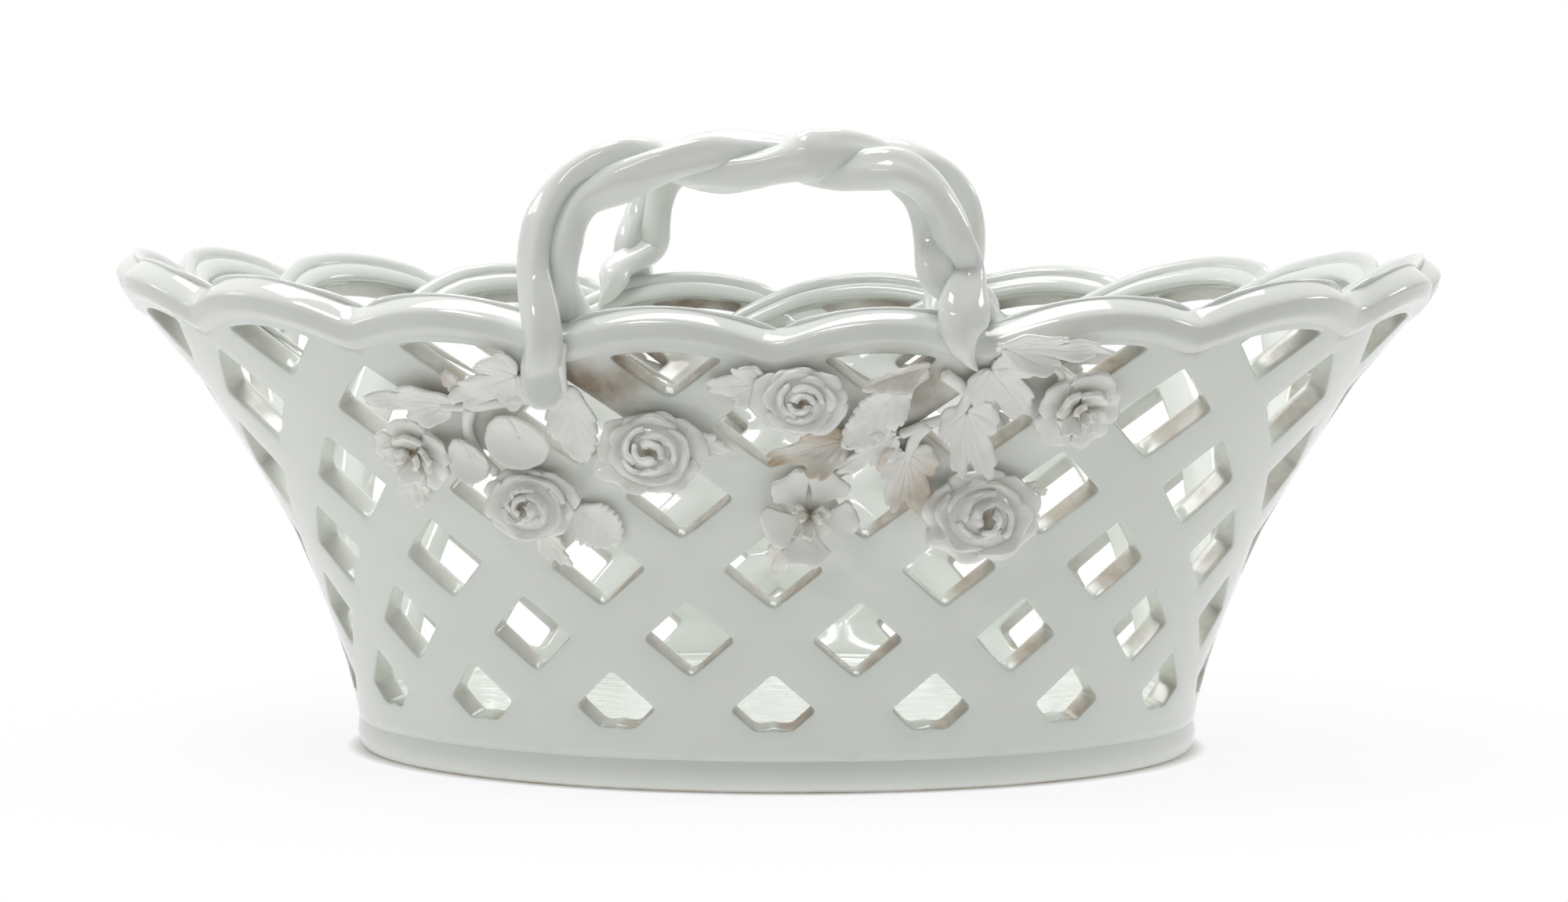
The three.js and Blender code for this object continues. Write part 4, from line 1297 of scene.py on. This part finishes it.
@dataclass(frozen=True)
class Flower:
    """A flower modelled by hand, petal by petal.

    Attributes:
        place: where it sits.
        diameter: across its petals.
        height: off the wall.
        seed: seed of its small irregularities.
        tilt: how far it looks up, in degrees.
        lip: height of its outer lip, as a share of its own.
        filling: radii and heights of the paste and glaze between its petals, as shares.
    """

    place: Place
    diameter: float
    height: float
    seed: int
    tilt: float = 0.0
    lip: float = 0.46
    filling: tuple[tuple[float, float], ...] = ((0.6, 0.1), (0.55, 0.2), (0.3, 0.28), (0.0, 0.3))

    def rings(self) -> tuple[Ring, ...]:
        """Its rings of petals, from outside inwards."""
        raise NotImplementedError

    def shape(self) -> Shape:
        """Every petal of every ring, with a low mound under them and a heart that is browner towards its
        middle and depth.
        """
        chance = np.random.default_rng(self.seed)
        bodies = []
        turn = chance.uniform(0, 2)
        for ring in self.rings():
            turn += math.pi / ring.count + chance.uniform(0, 0.4)
            for i in range(ring.count):
                size = chance.uniform(0.88, 1.04)
                toward = turn + 2 * math.pi * i / ring.count + chance.uniform(-0.14, 0.14)
                petal = replace(ring, spread=ring.spread * chance.uniform(0.9, 1.12),
                                curl=ring.curl * chance.uniform(0.3, 1.7),
                                ruffle=ring.ruffle * chance.uniform(0.5, 1.6))
                height = self.height * chance.uniform(0.92, 1.0)
                bodies.append(petal.petal(toward, self.diameter / 2 * size, height, chance.uniform(0, 6)))
        whole = joined(bodies)
        heart = np.exp(-((whole.points[:, 0] ** 2 + whole.points[:, 1] ** 2) / (0.1 * self.diameter) ** 2))
        deep = smooth((0.9 * self.height - whole.points[:, 2]) / (0.4 * self.height))
        whole.marks["stain"] = np.maximum(whole.marks["stain"], 0.8 * heart * deep)
        return joined([replace(whole, points=self.stood(whole.points)), self.mound()])

    def stood(self, flat: np.ndarray) -> np.ndarray:
        """Its flat coordinates on the wall: tilted, lifted by half the slant, its lip kept in place."""
        slant = self.height * math.sin(math.radians(self.tilt))
        return laid(flat, self.place, self.tilt, slant / 2, slant * self.lip)

    def mound(self) -> Shape:
        """The lump of paste that carries the petals: a flat dome, drawn in to a foot on the wall."""
        turn = np.linspace(0, 2 * np.pi, MOUND_SIDES, endpoint=False)
        profile = np.array(self.filling)
        radius, rise = self.diameter / 2 * profile[:, :1], self.height * profile[:, 1:]
        dome = np.stack([radius * np.sin(turn), radius * np.cos(turn), rise + 0 * turn], -1).reshape(-1, 3)
        foot = np.stack([np.sin(turn), np.cos(turn), 0 * turn], -1) * self.diameter * 0.25
        under = laid(np.zeros((1, 3)), self.place)
        points = np.concatenate([laid(foot, self.place), self.stood(dome), under])
        around = np.arange(MOUND_SIDES)
        base = np.stack([np.full(MOUND_SIDES, len(points) - 1), (around + 1) % MOUND_SIDES, around], -1)
        deep = np.repeat(np.exp(-(profile[:, 0] / 0.13) ** 2), MOUND_SIDES)
        heart = np.concatenate([np.zeros(MOUND_SIDES), deep, [0.0]])
        marks = {"pool": np.full(len(points), 0.5), "stain": heart}
        return Shape(points, [quads(len(profile) + 1, MOUND_SIDES), base], marks)


class Rose(Flower):
    """A full rose, half open."""

    def rings(self) -> tuple[Ring, ...]:
        """A broad open ring, a cup inside it and a bud whose petals close in round a hollow heart."""
        return (
            Ring(5, 0.8, (0.3, 1.0), (0.1, 0.48), 0.3, 0.12, 0.06, 0.22, 0.75, 0.0, 0.78),
            Ring(3, 1.25, (0.46, 0.74), (0.34, 0.7), 0.5, 0.06, 0.05, 0.16, 0.95, 0.0, 0.86, 0.9),
            Ring(3, 1.15, (0.5, 0.36), (0.4, 0.88), 0.2, 0.03, 0.05, 0.3, 1.0, 0.0, 0.9, 0.85, 0.13),
            Ring(2, 1.35, (0.33, 0.13), (0.5, 0.98), 0.1, 0.0, 0.03, 0.25, 1.0, 0.0, 0.95, 0.8, 0.1),
        )


class Blossom(Flower):
    """An open five-petalled blossom with a folded heart."""

    def rings(self) -> tuple[Ring, ...]:
        """Five broad spoon-shaped petals and three small pointed ones folded over the heart."""
        return (
            Ring(5, 0.62, (0.06, 1.0), (0.2, 0.72), 0.5, 0.1, 0.04, 0.27, 0.33),
            Ring(3, 0.6, (0.03, 0.4), (0.35, 1.0), 0.4, 0.0, 0.03, 0.75, 0.5),
            Ring(2, 0.8, (0.02, 0.2), (0.35, 1.15), 0.6, 0.0, 0.02, 0.7, 0.6),
        )


class DoubleBlossom(Flower):
    """A blossom with two rings of petals, more open and ragged than a rose."""

    def rings(self) -> tuple[Ring, ...]:
        """Five broad petals outside, four half upright inside them and a small open heart."""
        return (
            Ring(5, 0.66, (0.12, 1.0), (0.08, 0.5), 0.35, 0.12, 0.05, 0.26, 0.5),
            Ring(4, 0.72, (0.12, 0.64), (0.3, 0.86), 0.45, 0.06, 0.05, 0.26, 0.6),
            Ring(2, 1.0, (0.08, 0.26), (0.5, 0.95), 0.6, 0.02, 0.03, 0.3, 0.8),
        )


@dataclass(frozen=True)
class RoundPetal:
    """A loose round petal, cupped like a shell against the wall."""

    place: Place
    diameter: float
    narrow: float = 1.0

    def shape(self) -> Shape:
        """A disc whose rim stands off the wall: the height grows with the square of the distance."""
        out = np.linspace(0.02, 1, 10)[:, None]
        turn = np.linspace(0, 2 * np.pi, 49)[None, :]
        radius = self.diameter / 2 * out * (1 + 0.035 * np.sin(3 * turn + 1) + 0.012 * np.sin(11 * turn))
        x, y = self.narrow * radius * np.sin(turn), radius * np.cos(turn)
        rise = 0.001 + 0.0022 * out**2 + 0.0008 * out**2 * np.sin(2 * turn + 0.6)
        points = np.stack([x, y, rise + 0 * turn], -1)
        half = PETAL_THICKNESS / 2 * (0.5 + 0.5 * np.sqrt(1 - 0.98 * out)) + 0 * turn
        body = shell(points, half, {"pool": 0.5 * (1 - out) + 0 * turn, "stain": 0.1 * out**4 + 0 * turn})
        return replace(body, points=laid(body.points, self.place))


@dataclass(frozen=True)
class Blade:
    """Outline of a leaf with round teeth on both sides of one midrib.

    Attributes:
        teeth: teeth on each side.
        deep: depth of a tooth, as a share of the half width.
        waist: depth of two waists that part the blade into lobes.
        fullness: power that fills out the blade; smaller is fuller.
    """

    teeth: int = 7
    deep: float = 0.17
    waist: float = 0.0
    fullness: float = 0.65

    def grid(self, chance: np.random.Generator) -> tuple[np.ndarray, np.ndarray, np.ndarray, np.ndarray]:
        """Lengthways and sideways shares of a grid of points, with their veins and distance to the edge."""
        along = np.linspace(0.0, 1.0, 65)[:, None]
        across = np.linspace(-1, 1, 17)[None, :]
        tooth = (1 - np.abs(np.sin(np.pi * (along * self.teeth + chance.uniform(0, 1))))) ** 1.5
        blade = np.sin(np.pi * np.clip(along, 0.0, 1.0) ** 0.85) ** self.fullness
        stalk = 0.12 * (1 - smooth(along / 0.12))
        notch = 1 - self.waist * np.abs(np.sin(np.pi * 2.0 * along)) ** 6 * smooth(along / 0.2)
        edge = (blade * notch + stalk) * (1 - self.deep * tooth)
        far = along + 0.03 * np.abs(across) * (1 - tooth) - 0.1 * np.abs(across) ** 2 * along * (1 - along)
        lines = np.abs(np.sin(np.pi * (5.5 * along - 2.2 * np.abs(across)))) ** 16 * (1 - np.abs(across) ** 4)
        vein = np.maximum(lines, np.exp(-(across / 0.06) ** 2) * (1 - along**4))
        return far, across * edge, vein, 1 - np.abs(across) + 0 * along


@dataclass(frozen=True)
class Palm:
    """Outline of a leaf whose lobes spread from its foot like fingers.

    Attributes:
        lobes: direction in degrees, length as a share of the leaf, and half width in degrees of each.
        teeth: teeth in half a turn.
        deep: depth of a tooth, as a share of the radius.
    """

    lobes: tuple[tuple[float, float, float], ...] = ((-66, 0.7, 48), (0, 1.0, 42), (66, 0.7, 48))
    teeth: float = 8.0
    deep: float = 0.12

    def grid(self, chance: np.random.Generator) -> tuple[np.ndarray, np.ndarray, np.ndarray, np.ndarray]:
        """Lengthways and sideways shares of a grid of points, with their veins and distance to the edge.

        The radius in each direction is the greatest of the lobes' own, each half a circle's profile,
        and round teeth are cut into it.
        """
        out = np.linspace(0.0, 1.0, 15)[:, None]
        turn = np.radians(np.linspace(-118, 118, 97))[None, :]
        reach = np.full(turn.shape, 0.16)
        vein = np.zeros(turn.shape)
        for toward, length, half in self.lobes:
            away = (turn - math.radians(toward)) / math.radians(half)
            reach = np.maximum(reach, length * np.sqrt(np.clip(1 - np.abs(away) ** 1.7, 0, 1)))
            vein = np.maximum(vein, np.exp(-((turn - math.radians(toward)) / 0.05) ** 2))
        tooth = (1 - np.abs(np.sin(turn * self.teeth + chance.uniform(0, 3)))) ** 1.5
        reach = reach * (1 - self.deep * tooth)
        radius = out * reach
        fine = np.abs(np.sin(turn * 9)) ** 14 * smooth((out - 0.25) / 0.3) * 0.6
        side = radius * np.sin(turn)
        edge = 1 - out + 0 * turn
        return radius * np.cos(turn), side / np.abs(side).max(), np.maximum(vein * (1 - out**4), fine), edge


@dataclass(frozen=True)
class Leaf:
    """A toothed, veined leaf that curls off the wall.

    Attributes:
        base: place of its foot.
        tip: place of its tip.
        width: as a share of its length.
        curl: how far its tip stands off, as a share of a rose.
        outline: its outline.
        cup: how far its sides stand up, as a share of its length.
        seed: seed of its small irregularities.
        brown: how brown it is coloured.
        fold: how far one side is folded up, as a share of its length.
    """

    base: Place
    tip: Place
    width: float
    curl: float
    outline: Blade | Palm
    cup: float = 0.12
    seed: int = 1
    brown: float = 0.0
    fold: float = 0.0

    def shape(self) -> Shape:
        """A grid from foot to tip and from side to side.

        The midrib and the side veins are hollows in the thickness, and the tip rises with the square of
        the way along; the sides stand up with the square of the way across.
        """
        chance = np.random.default_rng(self.seed)
        far, across, vein, inward = self.outline.grid(chance)
        scale_along, scale_up = BOWL.scale((self.base.column + self.tip.column) / 2,
                                           (self.base.level + self.tip.level) / 2)
        run = np.array([(self.tip.column - self.base.column) * scale_along,
                        (self.tip.level - self.base.level) * scale_up])
        length = float(np.hypot(*run))
        over = np.array([-run[1], run[0]]) * self.width / 2
        bend = chance.uniform(-0.08, 0.08) * np.sin(np.pi * np.clip(far, 0, 1))
        x = run[0] * far + over[0] * (across + bend)
        y = run[1] * far + over[1] * (across + bend)
        lift = LEAF_LIFT * (length / LEAF_LENGTH) * self.curl * far**2
        sway = chance.uniform(-0.07, 0.07) * length * across * np.sin(np.pi * np.clip(far, 0, 1))
        wave = 2 * np.pi * (2.2 * far + chance.uniform(0, 1)) + 3 * across
        ruffle = 0.035 * length * (1 - inward) ** 2 * np.sin(wave)
        raised = self.cup * length * across**2 + self.fold * length * np.clip(across, 0, 1) ** 1.5
        off = LEAF_OFF + lift + raised + sway + ruffle
        surface = BOWL.point(self.base.column + x / scale_along, self.base.level + y / scale_up,
                             self.base.off + off)
        thin = 0.45 + 0.55 * np.sqrt(np.clip(inward / 0.35, 0, 1))
        half = np.maximum(LEAF_THICKNESS / 2 * thin - VEIN_DEPTH * vein, LEAF_LEAST)
        brown_waves = self.brown * (0.6 + 0.4 * np.sin(4 * far + 2 * across + self.seed))
        marks = {"pool": 0.3 * vein + 0 * half, "stain": np.clip(0.06 * vein + brown_waves, 0, 1) + 0 * half}
        return shell(surface, half, marks)


@dataclass(frozen=True)
class Stem:
    """A thin stem pressed on the wall, which may branch.

    Attributes:
        runs: places along each of its rods.
        radius: of the first rod.
    """

    runs: tuple[tuple[Place, ...], ...]
    radius: float = 0.0012

    def shape(self) -> Shape:
        """Rods through their places that thin towards their ends."""
        rods = []
        for places in self.runs:
            column, level, off = np.array([(p.column, p.level, p.off) for p in places]).T
            points = BOWL.point(column, level, off + self.radius * 0.8)
            share = np.linspace(0, 1, 44)
            ends = np.clip(np.minimum(share, 1 - share) * 30 + 0.35, 0, 1)
            radius = self.radius * (1.08 - 0.3 * share + 0.06 * np.sin(14 * share)) * ends
            rods.append(tube(curve_through(points, 44), radius, 12, 0.06, 1.0))
        made = joined(rods)
        made.marks["pool"] = np.full(len(made.points), 0.2)
        return made


@dataclass(frozen=True)
class Cluster:
    """A piece that carries a smaller one on the same joint: a flower or leaf with a leaflet beside it."""

    parts: tuple[Flower | Leaf | Stem | RoundPetal, ...]

    def shape(self) -> Shape:
        """All its parts."""
        return joined([part.shape() for part in self.parts])


def on_wall(column: float, share: float, off: float = SEAT) -> Place:
    """Place at a column and a share of the rim's height."""
    return Place(column, share * BOWL.notch, off)


# Radii and heights of the paste between a rose's petals, as shares
ROSE_FILLING = ((0.74, 0.18), (0.68, 0.36), (0.58, 0.46), (0.42, 0.62), (0.26, 0.76), (0.12, 0.7),
                (0.0, 0.62))


@dataclass
class Ornament:
    """The roses, blossoms, petals, leaves and stems of the front, by the name of their node.

    Attributes:
        rose_diameter: across a rose of size 1.
        rose_height: its height off the wall.
        blossom_diameter: across a blossom of size 1.
        blossom_height: its height off the wall.
        over_bead: how far a piece stands off where it lies over the rim's bead.
    """

    rose_diameter: float = 0.018
    rose_height: float = 0.0075
    blossom_diameter: float = 0.0165
    blossom_height: float = 0.005
    over_bead: float = 0.0014

    def rose(self, column: float, share: float, size: float, seed: int, tilt: float = 0.0) -> Rose:
        """A rose of a given size, whose hollows are half filled."""
        return Rose(on_wall(column, share), self.rose_diameter * size, self.rose_height * size, seed, tilt,
                    filling=ROSE_FILLING)

    def open_rose(self, column: float, share: float, size: float, seed: int,
                  tilt: float = 0.0) -> DoubleBlossom:
        """A wide open rose of a given size."""
        return DoubleBlossom(on_wall(column, share), self.rose_diameter * size, self.rose_height * size * 0.9,
                             seed, tilt)

    def blossom(self, column: float, share: float, size: float, seed: int, tilt: float = 0.0) -> Blossom:
        """A blossom of a given size."""
        return Blossom(on_wall(column, share), self.blossom_diameter * size, self.blossom_height * size,
                       seed, tilt, 0.72)

    def leaf(self, base: tuple[float, float], tip: tuple[float, float], width: float, curl: float,
             seed: int, outline: Blade | Palm, brown: float = 0.0, fold: float = 0.0, cup: float = 0.12,
             off: float = SEAT) -> Leaf:
        """A leaf between two places given as column and share of the height."""
        return Leaf(on_wall(*base, off), on_wall(*tip, off), width, curl, outline, cup, seed, brown, fold)

    def stem(self, *runs: tuple[tuple[float, float], ...], off: float = SEAT,
             radius: float = 0.0012) -> Stem:
        """A stem whose runs go through places given as column and share of the height."""
        return Stem(tuple(tuple(on_wall(*place, off) for place in run) for run in runs), radius)

    def flowers(self) -> dict[str, Flower | Cluster | RoundPetal]:
        """The roses, blossoms and loose petals."""
        leaflet = Palm(((-48, 0.75, 40), (0, 1.0, 36), (48, 0.75, 40)), 8.0, 0.12)
        return {
            "rose_lower_left": Cluster((
                self.rose(-1.26, 0.66, 1.08, 3, 20),
                self.leaf((-1.27, 0.575), (-1.13, 0.505), 0.75, 0.3, 81, leaflet, 0.1))),
            "rose_upper_left": Cluster((
                self.rose(-0.59, 0.79, 1.18, 5, 30),
                self.leaf((-0.4, 0.79), (-0.2, 0.768), 0.75, 0.5, 83, leaflet))),
            "rose_under_rim": self.rose(0.13, 0.895, 0.99, 7, 24),
            "rose_lower_right": Cluster((
                self.rose(1.07, 0.65, 1.3, 11, 24),
                self.leaf((1.3, 0.675), (1.45, 0.67), 0.8, 0.5, 85, leaflet, 0.15))),
            "rose_far_right": self.open_rose(1.47, 0.855, 0.96, 13, 6),
            "blossom_left": Cluster((
                self.open_rose(-1.86, 0.745, 0.92, 17, 6),
                self.leaf((-1.95, 0.69), (-2.0, 0.615), 0.8, 0.3, 87, leaflet, 0.15))),
            "blossom_middle": Cluster((
                self.blossom(0.19, 0.645, 1.18, 19, 17),
                self.leaf((0.07, 0.575), (0.02, 0.49), 0.75, 0.3, 89, leaflet, 0.25))),
            "round_petal_left": RoundPetal(on_wall(-1.27, 0.785), self.rose_diameter * 0.68),
            "round_petal_far_left": RoundPetal(on_wall(-1.56, 0.74), self.rose_diameter * 0.56, 0.8),
        }

    def leaves(self) -> dict[str, Leaf | Cluster]:
        """The leaves."""
        three = Palm()
        wide = Palm(((-74, 0.72, 42), (-24, 0.92, 36), (24, 1.0, 36), (74, 0.72, 42)), 9.0, 0.1)
        hand = Palm(((-50, 0.76, 40), (0, 1.0, 38), (50, 0.76, 40)), 10.0, 0.1)
        return {
            "leaf_beside_left_foot": Cluster((
                self.leaf((-1.2, 0.915), (-1.55, 0.865), 0.85, 0.8, 23, three),
                self.leaf((-1.49, 0.87), (-1.55, 0.92), 0.6, 0.9, 91, Blade(4, 0.2), 0.5))),
            "leaf_far_left": self.leaf((-1.57, 0.846), (-2.02, 0.857), 0.52, 0.7, 29, hand),
            "leaf_hanging_left": self.leaf(
                (-0.975, 0.895), (-0.955, 0.742), 0.62, 0.5, 31, Blade(7, 0.12, 0.0, 0.7)),
            "leaf_by_lower_left_rose": self.leaf(
                (-1.04, 0.635), (-0.83, 0.562), 0.95, 0.4, 37, Blade(8, 0.15)),
            "leaf_under_rim": self.leaf((-0.04, 0.912), (-0.32, 0.91), 0.9, 0.6, 41, hand),
            "leaf_long_right": self.leaf(
                (0.73, 0.945), (0.42, 0.913), 0.34, 1.0, 43, Blade(5, 0.05), 0.3, 0.25),
            "leaf_broad_right": self.leaf(
                (0.63, 0.91), (0.355, 0.79), 0.58, 0.9, 47, Blade(10, 0.12, 0.0, 0.55)),
            "leaf_curled_middle": self.leaf((0.36, 0.79), (-0.04, 0.765), 0.62, 1.5, 53, hand, 1.2, 0.2),
            "leaf_middle_right": self.leaf((0.6, 0.8), (0.32, 0.722), 0.6, 0.5, 59, hand),
            "leaf_hanging_middle": self.leaf((0.67, 0.76), (0.69, 0.62), 0.8, 0.6, 61, wide, 0.7),
            "leaf_over_lower_rose": self.leaf((0.935, 0.848), (1.03, 0.702), 0.7, 1.6, 67, wide),
            "leaf_behind_right_foot": self.leaf((1.01, 0.935), (1.24, 0.835), 0.95, 0.4, 71, three),
            "leaf_over_rim": self.leaf((1.04, 0.985), (1.52, 0.98), 0.42, 0.6, 73, hand, off=self.over_bead),
        }

    def pieces(self) -> dict[str, Flower | Leaf | Stem | RoundPetal | Cluster]:
        """Every modelled piece of one side, by the name of its node without the side."""
        return {
            **self.flowers(),
            **self.leaves(),
            "stem_left": self.stem(
                ((-1.2, 0.867), (-1.36, 0.852), (-1.5, 0.842), (-1.64, 0.84)),
                ((-1.48, 0.845), (-1.53, 0.8), (-1.53, 0.76), (-1.44, 0.7))),
            "stem_by_left_foot": self.stem(
                ((-0.95, 0.99), (-0.965, 0.96), (-0.975, 0.93), (-0.98, 0.89)),
                off=self.over_bead, radius=0.0009),
            "stem_right": self.stem(
                ((0.79, 0.93), (0.92, 0.883), (0.88, 0.84), (0.76, 0.823), (0.62, 0.8)),
                ((0.76, 0.823), (0.7, 0.79), (0.67, 0.745))),
            "stem_far_right": self.stem(
                ((1.04, 0.93), (1.2, 0.935), (1.33, 0.925), (1.38, 0.895)), radius=0.001),
        }


# Soft boxes: name, place, two sides and watts
LAMPS = (
    ("overhead", (-0.15, 0.42, 1.45), (1.1, 0.6), 11.5),
    ("left", (-1.4, 0.1, 0.7), (0.5, 0.3), 2.6),
    ("front", (-0.45, -1.3, 0.8), (0.5, 0.08), 2.0),
    ("top", (-0.3, -0.4, 1.4), (0.5, 0.38), 8.0),
    ("right", (1.3, 0.2, 0.7), (0.5, 0.3), 4.5),
)
# Point that the soft boxes look at
AIM = (0, 0, 0.06)


@dataclass
class Studio:
    """Camera, lamps, pale floor and white surroundings.

    Attributes:
        distance: of the camera from the basket's middle.
        eye: height of the camera.
        pitch: how far it looks down, in radians.
        yaw: how far the basket is turned to it.
        roll: of the camera.
        aside: how far it stands to the right.
        lens: focal length in millimetres on a 36 mm sensor.
        brightest: direction that the most light comes from.
        dim: light from the other side, as a share of the mean.
    """

    distance: float = 0.8817
    eye: float = 0.1276
    pitch: float = 0.074
    yaw: float = -0.0074
    roll: float = 0.0037
    aside: float = 0.00136
    lens: float = 95.9
    brightest: tuple[float, float, float] = (-0.3, 0.9, -0.15)
    dim: float = 0.06

    def camera(self) -> None:
        """Sets the camera at the photograph's viewpoint."""
        turn = Matrix.Rotation(-self.yaw, 3, "Z")
        right = Vector((1, 0, 0))
        ahead = Vector((0, math.cos(self.pitch), -math.sin(self.pitch)))
        up = Vector((0, math.sin(self.pitch), math.cos(self.pitch)))
        rolled_right = right * math.cos(self.roll) + up * math.sin(self.roll)
        rolled_up = up * math.cos(self.roll) - right * math.sin(self.roll)
        axes = Matrix((turn @ rolled_right, turn @ rolled_up, turn @ -ahead)).transposed()
        data = bpy.data.cameras.new("camera")
        data.lens = self.lens
        data.sensor_width = 36.0
        data.clip_start = 0.02
        data.clip_end = 60.0
        camera = bpy.data.objects.new("camera", data)
        camera.matrix_world = Matrix.Translation(turn @ Vector((self.aside, -self.distance, self.eye))) @ (
            axes.to_4x4())
        bpy.context.scene.collection.objects.link(camera)
        bpy.context.scene.camera = camera

    def lamp(self, name: str, place: tuple[float, float, float], size: tuple[float, float],
             watts: float) -> None:
        """Adds a soft box that looks at the basket.

        Args:
            name: its name.
            place: where it hangs.
            size: its two sides.
            watts: its power.
        """
        data = bpy.data.lights.new(name, "AREA")
        data.shape = "RECTANGLE"
        data.size, data.size_y = size
        data.energy = watts
        lamp = bpy.data.objects.new(name, data)
        lamp.location = place
        lamp.rotation_euler = (Vector(AIM) - Vector(place)).to_track_quat("-Z", "Y").to_euler()
        bpy.context.scene.collection.objects.link(lamp)

    def seen_white(self, tree: bpy.types.NodeTree) -> bpy.types.NodeSocket:
        """Is 1 for rays from the camera, off gloss and through glass."""
        rays = tree.nodes.new("ShaderNodeLightPath").outputs
        first = worked(tree, "MAXIMUM", rays["Is Camera Ray"], rays["Is Glossy Ray"])
        return worked(tree, "MAXIMUM", first, rays["Is Transmission Ray"])

    def surroundings(self, glow: float) -> None:
        """White to the eye, and a dimmer even light on the basket."""
        world = bpy.data.worlds.new("studio")
        world.use_nodes = True
        tree = world.node_tree
        background = tree.nodes["Background"]
        background.inputs["Color"].default_value = (1.0, 1.0, 1.0, 1.0)
        way = node_of(tree, "ShaderNodeTexCoord").outputs["Generated"]
        toward = worked(tree, "DOT_PRODUCT", way, self.brightest, kind="ShaderNodeVectorMath")
        light = ranged(tree, toward, (-1.0, 1.0), (self.dim * glow, (2 - self.dim) * glow))
        strength = ranged(tree, self.seen_white(tree), (0.0, 1.0), (light, 1.0))
        tree.links.new(strength, background.inputs["Strength"])
        bpy.context.scene.world = world

    def table(self, half: float) -> None:
        """A plain white table top that keeps the basket's shadow and is whiter the further it lies off.

        Distances are shares of the foot's oval, so the foot's edge lies at a half. To the eye the top is
        white from just beside the foot; the light that it throws back fades with the distance.

        Args:
            half: half its side.
        """
        mesh = bpy.data.meshes.new("table_top")
        corners = [(-half, -half, 0), (half, -half, 0), (half, half, 0), (-half, half, 0)]
        mesh.from_pydata(corners, [], [(0, 1, 2, 3)])
        material = bpy.data.materials.new("table_top")
        material.use_nodes = True
        tree = material.node_tree
        plain = tree.nodes["Principled BSDF"]
        plain.inputs["Base Color"].default_value = (0.8, 0.8, 0.79, 1.0)
        plain.inputs["Roughness"].default_value = 0.6
        plain.inputs["Specular IOR Level"].default_value = 0.0
        white = node_of(tree, "ShaderNodeEmission", Color=(1.0, 1.0, 1.0, 1.0), Strength=1.0)
        place = node_of(tree, "ShaderNodeTexCoord").outputs["Object"]
        oval = worked(tree, "MULTIPLY", place, (1 / BOWL.length, 1 / BOWL.width, 0.0),
                      kind="ShaderNodeVectorMath", output="Vector")
        away = worked(tree, "LENGTH", oval, kind="ShaderNodeVectorMath")
        beside = ranged(tree, away, (0.493, 0.517), (0.0, 0.9))
        clean = ranged(tree, away, (0.525, 1.2), (0.0, 0.1))
        bounce = ranged(tree, away, (0.62, 1.3), (0.85, 0.03))
        share = ranged(tree, self.seen_white(tree), (0.0, 1.0), (bounce, worked(tree, "ADD", beside, clean)))
        both = node_of(tree, "ShaderNodeMixShader", i0=share, i1=plain.outputs[0], i2=white.outputs[0])
        tree.links.new(both.outputs[0], tree.nodes["Material Output"].inputs["Surface"])
        mesh.materials.append(material)
        floor = bpy.data.objects.new("table_top", mesh)
        bpy.context.scene.collection.objects.link(floor)

    def build(self) -> None:
        """Sets up the whole studio."""
        bpy.context.scene.view_settings.view_transform = "Standard"
        self.camera()
        self.surroundings(0.13)
        self.table(20.0)
        for name, place, size, watts in LAMPS:
            self.lamp(name, place, size, watts)


def build_basket() -> None:
    """Builds each sub-assembly in turn and dresses it."""
    glaze = GLAZED.material()
    flowers = MODELLED.material()
    wall = PiercedWall()
    build_piece("glazed_wall", wall.shape(), glaze, "pierced_wall")
    build_piece("glazed_rim", RimBead(wall).shape(), glaze, "rim_bead")
    build_piece("glazed_foot", Foot().shape(), glaze, "foot_ring")
    build_piece("glazed_floor", Floor().shape(), glaze, "floor_plate")
    handle = Handle(wall)
    rolled = ROLLED.material()
    ornament = Ornament().pieces()
    for side in Side:
        name, angle = side.value
        for strand, outer in (("outer", True), ("inner", False)):
            node = f"{name}_handle_strand_{strand}"
            build_piece(f"glazed_{node}", turned(handle.shape(outer), angle), rolled, node)
        for part, model in ornament.items():
            node = f"{name}_{part}"
            build_piece(f"modelled_{node}", turned(model.shape(), angle), flowers, node)


def main() -> None:
    """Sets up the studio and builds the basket."""
    logging.basicConfig(level=logging.INFO, format="%(message)s")
    Studio().build()
    build_basket()


if __name__ == "__main__":
    main()
